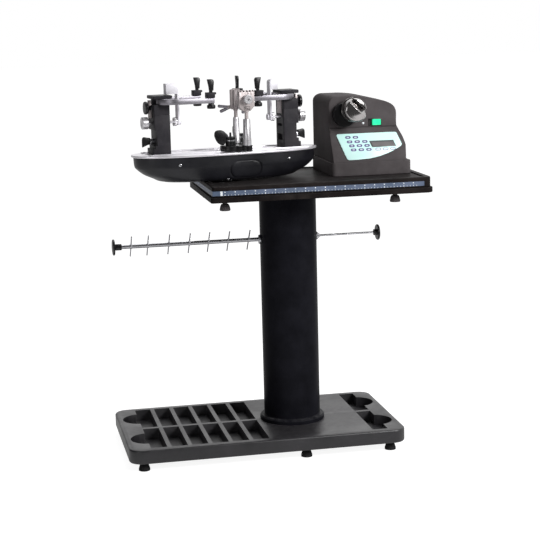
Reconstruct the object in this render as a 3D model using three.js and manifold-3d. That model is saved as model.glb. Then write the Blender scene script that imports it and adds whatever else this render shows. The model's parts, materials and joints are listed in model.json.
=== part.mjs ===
// Racket stringing machine on a storage stand, in millimetres, +Z up, standing on z = 0
import * as THREE from 'three';
import { mergeVertices } from 'three/addons/utils/BufferGeometryUtils.js';
import Module from 'manifold-3d';

const wasm = await Module();
wasm.setup();

// Clearances between pieces, and the overrun that lets a cut pass right through
const gap = 0.3;
const overrun = 1;

// How finely round shapes are divided, in sides per turn
const fineSides = 28;
const plainSides = 16;
const smallSides = 8;
const pinSides = 6;
const boatSides = 32;

// Feet and base moulding
const footHeight = 26;
const footRadius = 16;
const footWaistRadius = 12;
const footNeckRadius = 8;
const footTreadHeight = 7;
const footNeckHeight = 7;
const footSides = 12;
const footInset = 42;
const footSideInset = 36;
const baseLength = 798;
const baseDepth = 442;
const baseThickness = 40;
const baseCornerRadius = 38;
const baseEdgeRound = 5;
const baseFloor = 8;

// Racket slots in the base, and the round lobes for racket heads at both ends
const slotWidth = 46;
const slotPitch = 58.3;
const slotCount = 6;
const slotRowDepth = 192;
const slotRowLand = 14;
const slotEndInset = 61;
const lobeInset = 67;
const lobeRadius = 52;
const pocketWidth = 44;
const pocketInset = 53;

// Column
const columnOffset = 109;
const columnRadius = 82.5;
const columnWall = 3;
const columnLength = 668;
const collarRadius = 95;
const collarHeight = 13;
const collarChamfer = 4;
const topPlateSide = 200;
const topPlateThickness = 8;
const topPlateHoleRadius = 30;

// Divider rod with its pins, reel rod, and the knobs on their ends
const dividerHeight = 604.5;
const dividerRodRadius = 6;
const dividerReach = 500.5;
const rodInsert = 10;
const rodHoleDepth = 5;
const rodFlangeRadius = 13.5;
const rodFlangeThickness = 5;
const pinPlaceShares = [0.084, 0.226, 0.364, 0.498, 0.64, 0.785, 0.9];
const pinLength = 87;
const pinRadius = 1.9;
const pinLeanDegrees = 41;
const reelHeight = 606;
const reelRodRadius = 3;
const reelReach = 184;
const reelKnobHubLength = 9;
const reelKnobBoreDepth = 10;
const reelFlangeLength = 12;
const reelFlangeRadius = 12;
const reelFlangeSeat = 3;
const reelFlangeTipRadius = 4.5;
const endKnobRadius = 23;
const endKnobThickness = 8;
const endKnobDome = 3;
const endKnobCrownShare = 0.5;
const endKnobHubRadius = 8.5;
const endKnobHubLength = 20;
const endKnobBoreDepth = 16;

// Console tray and its edge strip
const trayLeft = 251;
const trayRight = 375;
const trayDepth = 400;
const trayLipHeight = 15;
const trayLipProud = 5;
const trayBodyHeight = 29;
const trayEdgeRound = 4;
const trayRimWidth = 18;
const trayRimHeight = 3;
const traySharpRadius = 8;
const traySoftRadius = 24;
const trayFootRadius = 15;
const trayFootTopRadius = 8;
const trayFootHeight = 28;
const trayFootRimHeight = 7;
const trayFootLeftInset = 42;
const trayFootRightInset = 95;
const trayFootSideInset = 50;
const stripHeight = 13;
const stripThickness = 1.5;
const stripRise = 4.5;

// Turntable: bearing pillar, boat-shaped hull and plate
const turntableOffset = 178;
const turntableRestDegrees = 8;
const pillarSeatRadius = 40;
const pillarSeatHeight = 17;
const pillarShaftRadius = 28;
const pillarShaftHeight = 51;
const hullClearance = 6;
const hullHeight = 71.7;
const hullWall = 5;
const hullHalfLength = 268;
const hullHalfWidth = 93;
const hullRoundness = 2.4;
const hullMouthClearance = 4;
const hullHeightShares = [0, 0.045, 0.14, 0.295, 0.5, 0.64, 1];
const hullLengthShares = [0.71, 0.755, 0.806, 0.896, 0.966, 0.996, 1];
const hullWidthShares = [0.8, 0.87, 0.925, 0.957, 0.979, 0.99, 1];
const recessOffset = 30;
const recessHalfLength = 48;
const recessHalfHeight = 25;
const recessRise = 33;
const recessDepth = 3;
const recessGroove = 5;
const plateHalfLength = 274;
const plateHalfWidth = 97;
const plateThickness = 6;
const plateEdgeRound = 1.5;
const hubRadius = 42;
const railSpacing = 92;
const railWidth = 14;
const railHeight = 2.5;
const railLength = 470;
const guideWidth = 14;
const guideDepth = 3;

// Mounting posts
const postSpacing = 380;
const postDepth = 66;
const postOuter = 24;
const postInner = 22;
const postFootOuter = 30;
const postFootHeight = 16;
const postHeight = 111;
const postRecessStart = 26;
const postRecessEnd = 69;
const postRecessDepth = 7;
const postTongueLength = 34;
const postWindowWidth = 40;
const postWindowDepth = 10;
const postLowWindowStart = 20;
const postLowWindowEnd = 38;
const postHighWindowStart = 60;
const postHighWindowEnd = 68;
const postEdgeRound = 3;
const postSeamDepth = 1;
const headBlockHeight = 28;
const armSlotHeight = 15.5;
const neckHalfWidth = 9;
const neckOuter = 21;
const capThickness = 9.5;
const capDepth = 70;
const capInner = 30;
const capEdgeRound = 1.5;
const armPivotOffset = 6;
const armPivotSpread = 20;
const armPinRadius = 3;

// Side arms and the clips on them
const armBend = 46;
const armReach = 101;
const armThickness = 11;
const armEyeRadius = 8;
const armSlotLength = 46;
const armSlotWidth = 5.2;
const armSlotInset = 5;
const clipLength = 28;
const clipWidth = 24;
const clipHeight = 15;
const clipStemRadius = 2.3;
const clipClawLength = 5;
const clipClawHeight = 6;
const clipNutRadius = 12;
const clipNutHeight = 15;
const clipCutHeight = 5;
const clipNutRound = 2;
const wingStemRadius = 3;
const wingCollarRadius = 5;
const wingCollarHeight = 5;
const wingSeatDepth = 8;
const wingHeight = 32;
const wingWidth = 19;
const wingThickness = 7;
const wingEdgeRound = 1;
const wingAcrossShares = [-0.25, 0.3, 0.32, 0.42, 0.48, 0.4, 0.15, -0.52, -0.27];
const wingUpShares = [0, 0, 0.25, 0.55, 0.8, 0.93, 1, 1, 0.3];
const leftClipPlace = 132;
const rightFrontClipPlace = 110;
const rightRearClipPlace = 127;

// Knobs, screws and levers of a post
const armKnobRise = 19;
const postKnobClearance = 6.5;
const armKnobRadius = 18;
const armKnobThickness = 9;
const armKnobRound = 2;
const armKnobHubRadius = 7;
const armKnobHubLength = 10;
const armKnobShaftRadius = 4;
const armKnobShaftLength = 18;
const supportPlace = 50;
const supportThickness = 5;
const supportDepth = 26;
const supportDrop = 9;
const supportBossRadius = 9;
const supportBossLength = 6;
const leftHookLength = 37;
const rightHookLength = 24;
const supportHookHeight = 29;
const supportHookClearance = 2;
const supportHookRound = 9;
const guidePinRadius = 2.5;
const guidePinSpread = 9;
const guidePinLength = 44;
const supportTravel = 13;
const screwRadius = 4;
const chromeKnobRadius = 17.5;
const chromeKnobThickness = 12;
const chromeKnobHubRadius = 8;
const chromeKnobHubLength = 13;
const screwShow = 3;
const leverRise = 35.5;
const leverStemRadius = 5;
const leverStemLength = 10;
const leverCollarRadius = 8.5;
const leverCollarLength = 13;
const leverWingLength = 24;
const leverWingWidth = 28;
const leverWingThickness = 7;

// String clamps
const clampShoeLength = 32;
const clampShoeWidth = 24;
const clampShoeHeight = 8;
const clampStudRadius = 7;
const clampStudHeight = 36;
const clampDiscRadius = 30;
const clampDiscHeight = 14.5;
const clampShoeRoomRadius = 21.5;
const clampWebWidth = 24;
const clampReach = 55;
const clampBossRadius = 15;
const clampBossHeight = 16;
const sleeveLowRadius = 11.8;
const sleeveLowHeight = 17;
const sleeveRadius = 10.3;
const sleeveHeight = 57;
const clampRodRadius = 5.2;
const clampRodSocket = 66;
const clampRodShow = 22;
const jawWidth = 45;
const jawHeight = 57;
const jawFootWidth = 21;
const jawShoulder = 13;
const jawThickness = 6;
const jawBackThickness = 9;
const jawSlit = 2;
const jawBridgeHeight = 14;
const jawToothCount = 5;
const jawToothDepth = 5;
const toothStartShare = 0.3;
const toothEndShare = 0.7;
const adjusterRise = 33;
const adjusterSpindleRadius = 4;
const adjusterRadius = 12.5;
const adjusterLength = 16;
const adjusterNutRadius = 7;
const adjusterNutLength = 4;
const fingerPivotRise = 7;
const fingerBarrelRadius = 5;
const fingerBarrelLength = 20;
const fingerPinRadius = 2;
const fingerLugThickness = 4;
const fingerRadius = 3.4;
const fingerLength = 36;
const fingerSpread = 5;
const upperFingerDegrees = 4;
const lowerFingerDegrees = -24;
const lockHubRadius = 14.5;
const lockHubHeight = 11;
const lockRingRadius = 12;
const lockRingHeight = 5;
const lockKnobRadius = 14;
const lockKnobHeight = 8;
const lockTipRadius = 3;
const lockTipHeight = 12;
const paddleThickness = 8;
const paddleLength = 47;
const paddleHeight = 43;
const paddleEdgeRound = 1;
const paddleAcrossShares = [-0.17, -0.45, -0.78, -0.97, -1, -0.92, -0.7, -0.45, -0.17];
const paddleUpShares = [0.42, 0, 0.14, 0.5, 0.74, 0.94, 1, 0.94, 0.66];
const frontClampPlace = 2;
const frontClampDegrees = -50;
const frontHeadDegrees = 0;
const frontLockDegrees = 0;
const rearClampPlace = 57;
const rearClampDegrees = -115;
const rearHeadDegrees = 55;
const rearLockDegrees = -90;

// Tension head: plinth, housing, control panel, gripper, switch, inlet and drive
const plinthLeft = 117;
const plinthRight = 353;
const plinthFront = 73;
const plinthBack = 178;
const plinthHeight = 38.7;
const plinthWall = 5;
const plinthCornerRadius = 14;
const plinthEdgeRound = 2;
const housingLeftInset = 6;
const housingFootInset = 3;
const housingWidth = 202;
const housingHeight = 186;
const housingCornerRadius = 24;
const housingAcrossShares = [1.07, 1.074, 1.094, 1.064, 1.01, 1];
const housingUpShares = [0, 0.045, 0.217, 0.352, 0.49, 0.6];
const housingCrownAcrossShares = [1, 0.9975, 0.945, 0.813, 0.563, 0.326];
const housingCrownUpShares = [0.6, 0.749, 0.842, 0.909, 0.975, 1];
const housingWall = 3.5;
const housingPanelSetback = 52;
const housingSlopeFoot = 2;
const housingSlopeTop = 93.6;
const housingLedge = 2.5;
const housingBackRound = 20;
const panelThickness = 2;
const panelSideInset = 18;
const panelTopInset = 18;
const panelWidth = 178;
const panelHeight = 81.7;
const panelAcrossShares = [0.02, 0.985, 1.01, 1.071, 1.044, 0.94, 0.818, 0.67, 0.51, 0.3, 0.16, 0.125, 0];
const panelDownShares = [0, 0, 0.03, 0.486, 0.552, 0.68, 0.796, 0.9, 0.972, 1, 1, 0.965, 0.05];
const bossRadius = 34.6;
const bossThickness = 18;
const bossPlaceX = 167;
const bossRise = 133.2;
const drumOffsetX = 22;
const drumOffsetZ = 15.5;
const drumShaftRadius = 8;
const drumShaftInset = 36;
const drumFlangeRadius = 35.5;
const drumFlangeThickness = 5;
const drumGap = 9;
const drumBodyRadius = 33;
const drumBodyLength = 38;
const drumFaceRound = 5;
const drumFaceShare = 0.3;
const drumSlotDegrees = -40;
const drumSlotOffset = 20;
const drumSlotWidth = 2;
const drumSlotFloor = 4;
const drumRampStart = 2;
const drumRampDepth = 8;
const drumJawSetback = 12;
const switchPlaceX = 265;
const switchRise = 108;
const switchWidth = 24;
const switchHeight = 17;
const switchRecess = 10;
const switchDepth = 6;
const switchProud = 4;
const switchCrestShare = 0.5;
const switchLowShare = 0.2;
const inletWidth = 28;
const inletHeight = 22;
const inletDepth = 14;
const inletProud = 3;
const inletRise = 34;
const inletPlaceX = 190;
const inletHoleWidth = 20;
const inletHoleHeight = 13;
const inletHoleDepth = 12;
const driveWidth = 72;
const driveHeight = 62;
const driveDepth = 58;
const motorRadius = 26;
const motorLength = 84;

// Levels that follow from the sizes above
const half = (size) => size / 2;
const baseBottom = footHeight;
const baseTop = baseBottom + baseThickness;
const trayBottom = baseTop + gap + columnLength + topPlateThickness + gap;
const trayTop = trayBottom + trayLipHeight + trayBodyHeight;
const trayFloor = trayTop - trayRimHeight;
const hullBottom = trayFloor + hullClearance;
const hullTop = hullBottom + hullHeight;
const plateBottom = hullTop + gap;
const plateTop = plateBottom + plateThickness;
const plinthTop = trayFloor + gap + plinthHeight;
const housingBottom = plinthTop + gap;
const supportHeight = postHeight + armKnobRise - armKnobRadius - postKnobClearance - chromeKnobRadius;

// Finishes
const finish = (colour, roughness, metalness) =>
    new THREE.MeshStandardMaterial({ color: colour, roughness, metalness });
const mouldedPlastic = finish(0x2b2a2e, 0.5, 0);
const powderCoat = finish(0x1b1c20, 0.4, 0.2);
const blackRubber = finish(0x171718, 0.9, 0);
const blackPlastic = finish(0x1f1e20, 0.35, 0);
const charcoalPlastic = finish(0x464244, 0.45, 0);
const stainlessSteel = finish(0xb9b9bc, 0.25, 1);
const chromePlate = finish(0xd8d8da, 0.1, 1);
const brushedAluminium = finish(0xcfd0d4, 0.35, 1);
const castAluminium = finish(0xbfb6b4, 0.45, 0.8);
const stripFilm = finish(0x5a7a9c, 0.5, 0);
const panelFilm = finish(0xc6f5ee, 0.4, 0);
const greenLens = finish(0x2ee6a0, 0.3, 0);
const darkPost = finish(0x3a3a40, 0.5, 0.3);

// Turn a closed geometry into a solid that can be joined and cut
function solid(geometry) {
    const bare = geometry.clone();
    bare.deleteAttribute('normal');
    bare.deleteAttribute('uv');
    const merged = mergeVertices(bare);
    return new wasm.Manifold(new wasm.Mesh({
        numProp: 3,
        vertProperties: new Float32Array(merged.attributes.position.array),
        triVerts: new Uint32Array(merged.index.array),
    }));
}

// Turn a solid back into a geometry
function geometryOf(body) {
    const mesh = body.getMesh();
    const geometry = new THREE.BufferGeometry();
    geometry.setAttribute('position', new THREE.BufferAttribute(new Float32Array(mesh.vertProperties), 3));
    geometry.setIndex(new THREE.BufferAttribute(new Uint32Array(mesh.triVerts), 1));
    geometry.computeVertexNormals();
    return geometry;
}

const join = (first, ...others) =>
    geometryOf(others.reduce((whole, piece) => whole.add(solid(piece)), solid(first)));
const cut = (first, ...others) =>
    geometryOf(others.reduce((whole, piece) => whole.subtract(solid(piece)), solid(first)));
const common = (first, second) => geometryOf(solid(first).intersect(solid(second)));

// A block between two corners
function block(x0, x1, y0, y1, z0, z1) {
    const geometry = new THREE.BoxGeometry(x1 - x0, y1 - y0, z1 - z0);
    return geometry.translate(half(x0 + x1), half(y0 + y1), half(z0 + z1));
}

// A round bar along z, x or y
function barZ(radius, z0, z1, x = 0, y = 0, sides = plainSides) {
    const geometry = new THREE.CylinderGeometry(radius, radius, z1 - z0, sides);
    return geometry.rotateX(Math.PI / 2).translate(x, y, half(z0 + z1));
}
function barX(radius, x0, x1, y = 0, z = 0, sides = plainSides) {
    const geometry = new THREE.CylinderGeometry(radius, radius, x1 - x0, sides);
    return geometry.rotateZ(Math.PI / 2).translate(half(x0 + x1), y, z);
}
function barY(radius, y0, y1, x = 0, z = 0, sides = plainSides) {
    return new THREE.CylinderGeometry(radius, radius, y1 - y0, sides).translate(x, half(y0 + y1), z);
}

// The radius of a bore that stays clear of a round bar in it, whatever way either is turned
const boreOf = (radius, sides = plainSides) => (radius + gap) / Math.cos(Math.PI / sides);

// Pairs of distances from two tables of shares
const sharePoints = (across, up, width, height) =>
    across.map((share, index) => [share * width, up[index] * height]);

// A turned shape about z, from [radius, height] pairs that start and end on the axis or close a ring
function turned(profile, sides = plainSides) {
    const points = profile.map(([radius, height]) => new THREE.Vector2(radius, height));
    return new THREE.LatheGeometry(points, sides).rotateX(Math.PI / 2);
}

// A turned shape whose heights run along +x or -x
const turnedAlongX = (profile, sides) => turned(profile, sides).rotateY(Math.PI / 2);
const turnedAgainstX = (profile, sides) => turned(profile, sides).rotateY(-Math.PI / 2);

// A flat outline through points, as a closed shape
function outline(points) {
    const shape = new THREE.Shape();
    points.forEach(([x, y], index) => (index ? shape.lineTo(x, y) : shape.moveTo(x, y)));
    shape.closePath();
    return shape;
}

// A rectangle with its own radius at each corner, from the front left one round to the back left one
function cornerRectangle(x0, x1, y0, y1, [frontLeft, frontRight, backRight, backLeft]) {
    const shape = new THREE.Shape();
    const quarter = Math.PI / 2;
    shape.absarc(x0 + frontLeft, y0 + frontLeft, frontLeft, 2 * quarter, 3 * quarter, false);
    shape.absarc(x1 - frontRight, y0 + frontRight, frontRight, 3 * quarter, 4 * quarter, false);
    shape.absarc(x1 - backRight, y1 - backRight, backRight, 0, quarter, false);
    shape.absarc(x0 + backLeft, y1 - backLeft, backLeft, quarter, 2 * quarter, false);
    shape.closePath();
    return shape;
}
const evenRectangle = (x0, x1, y0, y1, radius) =>
    cornerRectangle(x0, x1, y0, y1, [radius, radius, radius, radius]);

// A plate from a flat outline between two levels, with its edges rounded by a small radius
function plate(shape, z0, z1, round = 0, curveSegments = 4, bevelSegments = 1) {
    const geometry = new THREE.ExtrudeGeometry(shape, {
        depth: z1 - z0 - 2 * round, curveSegments, steps: 1, bevelEnabled: round > 0,
        bevelThickness: round, bevelSize: round, bevelOffset: -round, bevelSegments,
    });
    return geometry.translate(0, 0, z0 + round);
}

// An outline drawn in x and z, given its thickness along y
const uprightPlate = (shape, y0, y1, round = 0, curveSegments = 4) =>
    plate(shape, -y1, -y0, round, curveSegments).rotateX(Math.PI / 2);

// A rounded-end oval in x and z
function ovalShape(halfLength, halfHeight, x = 0, z = 0) {
    const shape = new THREE.Shape();
    const reach = halfLength - halfHeight;
    shape.absarc(x + reach, z, halfHeight, -Math.PI / 2, Math.PI / 2, false);
    shape.absarc(x - reach, z, halfHeight, Math.PI / 2, 3 * Math.PI / 2, false);
    shape.closePath();
    return shape;
}

// A point on the boat outline, between an ellipse and a rectangle
function boatPoint(turn, halfLength, halfWidth) {
    const swell = (value) => Math.sign(value) * Math.abs(value) ** (2 / hullRoundness);
    return [halfLength * swell(Math.cos(turn)), halfWidth * swell(Math.sin(turn))];
}

// A solid through boat outlines stacked in height
function boatSolid(levels) {
    const sides = boatSides;
    const positions = [];
    const index = [];
    for (const [height, halfLength, halfWidth] of levels) {
        for (let side = 0; side < sides; side += 1) {
            const [x, y] = boatPoint((side / sides) * 2 * Math.PI, halfLength, halfWidth);
            positions.push(x, y, height);
        }
    }
    for (let level = 0; level + 1 < levels.length; level += 1) {
        for (let side = 0; side < sides; side += 1) {
            const next = (side + 1) % sides;
            const [a, b] = [level * sides + side, level * sides + next];
            index.push(a, b, b + sides, a, b + sides, a + sides);
        }
    }
    const lowCentre = positions.length / 3;
    positions.push(0, 0, levels[0][0], 0, 0, levels[levels.length - 1][0]);
    const top = (levels.length - 1) * sides;
    for (let side = 0; side < sides; side += 1) {
        const next = (side + 1) % sides;
        index.push(lowCentre, next, side, lowCentre + 1, top + side, top + next);
    }
    const geometry = new THREE.BufferGeometry();
    geometry.setAttribute('position', new THREE.Float32BufferAttribute(positions, 3));
    geometry.setIndex(index);
    return geometry;
}

// Add one named piece to a group
function add(group, name, geometry, material) {
    const mesh = new THREE.Mesh(geometry, material);
    mesh.name = name;
    group.add(mesh);
    return mesh;
}

// A group placed inside another, turned about z
function place(parent, x, y, z, turn = 0) {
    const group = new THREE.Group();
    group.position.set(x, y, z);
    group.rotation.z = turn;
    parent.add(group);
    return group;
}
const radians = (degrees) => (degrees * Math.PI) / 180;

// Base moulding: a thick tray with two rows of racket slots on the left and a pocket pair on the right
function slotCut(x0, x1, row) {
    const near = half(slotRowLand);
    const [y0, y1] = row < 0 ? [-near - slotRowDepth, -near] : [near, near + slotRowDepth];
    return block(x0, x1, y0, y1, baseBottom + baseFloor, baseTop + overrun);
}

// A half-round lobe that widens an end slot outwards
function lobeCut(side, slotEdge, row) {
    const centreX = side * (half(baseLength) - lobeInset);
    const centreY = row * half(slotRowLand + slotRowDepth);
    const spread = Math.acos(Math.min(1, Math.max(-1, (side * (slotEdge - centreX)) / lobeRadius)));
    const middle = side > 0 ? 0 : Math.PI;
    const shape = new THREE.Shape();
    shape.absarc(centreX, centreY, lobeRadius, middle - spread, middle + spread, false);
    shape.closePath();
    return plate(shape, baseBottom + baseFloor, baseTop + overrun, 0, smallSides)
        .translate(-side * gap, 0, 0);
}

function baseTray(root) {
    const [x, y] = [half(baseLength), half(baseDepth)];
    const body = plate(evenRectangle(-x, x, -y, y, baseCornerRadius), baseBottom, baseTop,
        baseEdgeRound, 5, 2);
    const cuts = [];
    const firstSlot = -x + slotEndInset;
    const pocket = x - pocketInset;
    for (const row of [-1, 1]) {
        for (let slot = 0; slot < slotCount; slot += 1) {
            const left = firstSlot + slot * slotPitch;
            cuts.push(slotCut(left, left + slotWidth, row));
        }
        cuts.push(slotCut(pocket - pocketWidth, pocket, row));
        cuts.push(lobeCut(-1, firstSlot, row), lobeCut(1, pocket, row));
    }
    add(root, 'base_tray', cut(body, ...cuts), mouldedPlastic);
}

function baseFeet(root) {
    const neck = footHeight - footNeckHeight;
    const profile = [
        [0, 0], [footRadius, 0], [footRadius, footTreadHeight], [footWaistRadius, neck],
        [footNeckRadius, neck], [footNeckRadius, footHeight - gap], [0, footHeight - gap],
    ];
    let number = 1;
    for (const row of [-1, 1]) {
        for (const x of [footInset - half(baseLength), columnOffset, half(baseLength) - footInset]) {
            const foot = turned(profile, footSides).translate(x, row * (half(baseDepth) - footSideInset), 0);
            add(root, `base_foot_${number}`, foot, blackRubber);
            number += 1;
        }
    }
}

// Column: a welded tube with a chamfered collar below and a square plate on top
function column(root) {
    const bottom = baseTop + gap;
    const top = bottom + columnLength;
    const inner = columnRadius - columnWall;
    const tube = turned([
        [inner, bottom], [collarRadius, bottom], [collarRadius, bottom + collarHeight - collarChamfer],
        [collarRadius - collarChamfer, bottom + collarHeight], [columnRadius, bottom + collarHeight],
        [columnRadius, top], [inner, top], [inner, bottom],
    ], fineSides);
    const side = half(topPlateSide);
    const cover = plate(evenRectangle(-side, side, -side, side, collarChamfer),
        top - gap, top + topPlateThickness, 0, 2);
    const hole = barZ(topPlateHoleRadius, top - gap - overrun, top + topPlateThickness + overrun);
    const rodHole = barX(boreOf(dividerRodRadius), -columnRadius - overrun, rodHoleDepth - columnRadius,
        0, dividerHeight);
    const reelHole = barX(boreOf(reelRodRadius), columnRadius - rodHoleDepth, columnRadius + overrun,
        0, reelHeight);
    const whole = cut(join(tube, cover), hole, rodHole, reelHole);
    add(root, 'column_tube', whole.translate(columnOffset, 0, 0), powderCoat);
}

// A domed knob with a blind bore that faces its rod, drawn along +x from its mouth
function endKnob(boreRadius, boreDepth, disc) {
    return turnedAlongX([
        [0, boreDepth], [boreRadius, boreDepth], [boreRadius, 0], [endKnobHubRadius, 0],
        [endKnobHubRadius, disc], [endKnobRadius, disc],
        [endKnobRadius, disc + endKnobThickness - endKnobDome],
        [endKnobCrownShare * endKnobRadius, disc + endKnobThickness - endKnobCrownShare ** 2 * endKnobDome],
        [0, disc + endKnobThickness],
    ]);
}

// Rod with leaning pins that keep the racket handles apart, and its knob
function dividerRod(root) {
    const face = -columnRadius;
    const tip = -dividerReach;
    const rod = barX(dividerRodRadius, tip, face + rodInsert);
    const flange = barX(rodFlangeRadius, face - gap - rodFlangeThickness, face - gap);
    const pins = pinPlaceShares.map((share) => barZ(pinRadius, -half(pinLength), half(pinLength),
        0, 0, pinSides).rotateX(radians(pinLeanDegrees)).translate(face + share * (tip - face), 0, 0));
    const whole = join(rod, flange, ...pins);
    add(root, 'divider_rod', whole.translate(columnOffset, 0, dividerHeight), stainlessSteel);
    const knob = endKnob(boreOf(dividerRodRadius), endKnobBoreDepth, endKnobHubLength).rotateZ(Math.PI);
    const mouth = tip + endKnobBoreDepth - gap;
    add(root, 'divider_knob', knob.translate(columnOffset + mouth, 0, dividerHeight), blackPlastic);
}

// Thin rod for string reels on the right, with a cone flange and a knob
function reelRod(root) {
    const face = columnRadius;
    const tip = face + reelReach;
    const rod = barX(reelRodRadius, face - rodInsert, tip, 0, 0, smallSides);
    const cone = turnedAlongX([
        [0, 0], [reelFlangeRadius, 0], [reelFlangeRadius, reelFlangeSeat],
        [reelFlangeTipRadius, reelFlangeLength], [0, reelFlangeLength],
    ]).translate(face + gap, 0, 0);
    add(root, 'reel_rod', join(rod, cone).translate(columnOffset, 0, reelHeight), stainlessSteel);
    const mouth = tip - reelKnobBoreDepth + gap;
    const knob = endKnob(boreOf(reelRodRadius), reelKnobBoreDepth, reelKnobHubLength);
    add(root, 'reel_knob', knob.translate(columnOffset + mouth, 0, reelHeight), blackPlastic);
}

// Console tray: a proud lower lip, a body with a rimmed top, four cone feet and a groove for the strip
function consoleTray(root) {
    const [left, right] = [columnOffset - trayLeft, columnOffset + trayRight];
    const side = half(trayDepth);
    const radii = [traySharpRadius, traySoftRadius, traySoftRadius, traySoftRadius];
    const lip = plate(cornerRectangle(left - trayLipProud, right + trayLipProud,
        -side - trayLipProud, side + trayLipProud, radii), trayBottom, trayBottom + trayLipHeight,
    half(trayEdgeRound));
    const body = plate(cornerRectangle(left, right, -side, side, radii),
        trayBottom + trayLipHeight - trayEdgeRound - overrun, trayTop, trayEdgeRound);
    const rim = trayRimWidth;
    const well = plate(evenRectangle(left + rim, right - rim, -side + rim, side - rim, rim),
        trayFloor, trayTop + overrun);
    const feet = [];
    for (const row of [-1, 1]) {
        for (const x of [left + trayFootLeftInset, right - trayFootRightInset]) {
            feet.push(turned([
                [0, -trayFootHeight], [trayFootRadius, -trayFootHeight],
                [trayFootRadius, trayFootRimHeight - trayFootHeight], [trayFootTopRadius, overrun],
                [0, overrun],
            ], footSides).translate(x, row * (side - trayFootSideInset), trayBottom));
        }
    }
    const [z0, z1] = [stripBottom() - gap, stripBottom() + stripHeight + gap];
    const depth = stripThickness + gap;
    const [stripEnd, stripBack] = stripEnds();
    const frontGroove = block(left - overrun, stripEnd + gap, -side - overrun, -side + depth, z0, z1);
    const leftGroove = block(left - overrun, left + depth, -side - overrun, stripBack + gap, z0, z1);
    add(root, 'console_tray', cut(join(lip, body, ...feet), well, frontGroove, leftGroove), mouldedPlastic);
}
const stripBottom = () => trayBottom + trayLipHeight + stripRise;
const stripEnds = () => [columnOffset + trayRight - traySoftRadius, half(trayDepth) - traySoftRadius];

// Printed edge strip that wraps the front and the left side of the tray
function rulerStrip(root) {
    const left = columnOffset - trayLeft;
    const side = half(trayDepth);
    const [stripEnd, stripBack] = stripEnds();
    const [z0, z1] = [stripBottom(), stripBottom() + stripHeight];
    const front = block(left, stripEnd, -side, -side + stripThickness, z0, z1);
    const edge = block(left, left + stripThickness, -side, stripBack, z0, z1);
    add(root, 'ruler_strip', join(front, edge), stripFilm);
}

// Bearing pillar on the tray: a seat and the shaft that the turntable turns on
function turntablePillar(root) {
    const base = trayFloor + gap;
    const shoulder = base + pillarSeatHeight;
    const pillar = turned([
        [0, base], [pillarSeatRadius, base], [pillarSeatRadius, shoulder], [pillarShaftRadius, shoulder],
        [pillarShaftRadius, shoulder + pillarShaftHeight], [0, shoulder + pillarShaftHeight],
    ]);
    add(root, 'turntable_pillar', pillar.translate(columnOffset - turntableOffset, 0, 0), stainlessSteel);
}

// Boat-shaped hull: an open shell with a mouth round the pillar and an oval groove in its front side
function turntableHull(table) {
    const level = (share, wall) => hullBottom + wall + share * (hullHeight - wall);
    const shell = (wall) => hullHeightShares.map((share, index) => [
        level(share, wall), hullLengthShares[index] * hullHalfLength - wall,
        hullWidthShares[index] * hullHalfWidth - wall,
    ]);
    const inside = shell(hullWall);
    inside.push([hullTop + overrun, hullHalfLength - hullWall, hullHalfWidth - hullWall]);
    const mouth = barZ(pillarSeatRadius + hullMouthClearance, hullBottom - overrun,
        hullBottom + hullWall + overrun);
    const rise = hullBottom + recessRise;
    const depth = hullHalfWidth - recessDepth;
    const outer = ovalShape(recessHalfLength, recessHalfHeight, recessOffset, rise);
    const inner = ovalShape(recessHalfLength - recessGroove, recessHalfHeight - recessGroove,
        recessOffset, rise);
    const groove = cut(uprightPlate(outer, -hullHalfWidth - overrun, -depth),
        uprightPlate(inner, -hullHalfWidth - 2 * overrun, overrun - depth));
    add(table, 'turntable_hull', cut(boatSolid(shell(0)), boatSolid(inside), mouth, groove), mouldedPlastic);
}

// Turntable plate with two clamp rails, a guide groove for the posts and a bearing hub below
function turntablePlate(table) {
    const points = [];
    for (let side = 0; side < boatSides; side += 1) {
        points.push(boatPoint((side / boatSides) * 2 * Math.PI, plateHalfLength, plateHalfWidth));
    }
    const deck = plate(outline(points), plateBottom, plateTop, plateEdgeRound);
    const [length, width] = [half(railLength), half(railWidth)];
    const rails = [-1, 1].map((row) => block(-length, length, row * half(railSpacing) - width,
        row * half(railSpacing) + width, plateTop - overrun, plateTop + railHeight));
    const seat = trayFloor + gap + pillarSeatHeight + gap;
    const hub = barZ(hubRadius, seat, plateBottom + overrun);
    const bore = barZ(boreOf(pillarShaftRadius), seat - overrun,
        trayFloor + gap + pillarSeatHeight + pillarShaftHeight + gap);
    const guide = block(-length, length, -half(guideWidth), half(guideWidth),
        plateTop - guideDepth, plateTop + overrun);
    add(table, 'turntable_plate', cut(join(deck, ...rails, hub), bore, guide), brushedAluminium);
}

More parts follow.
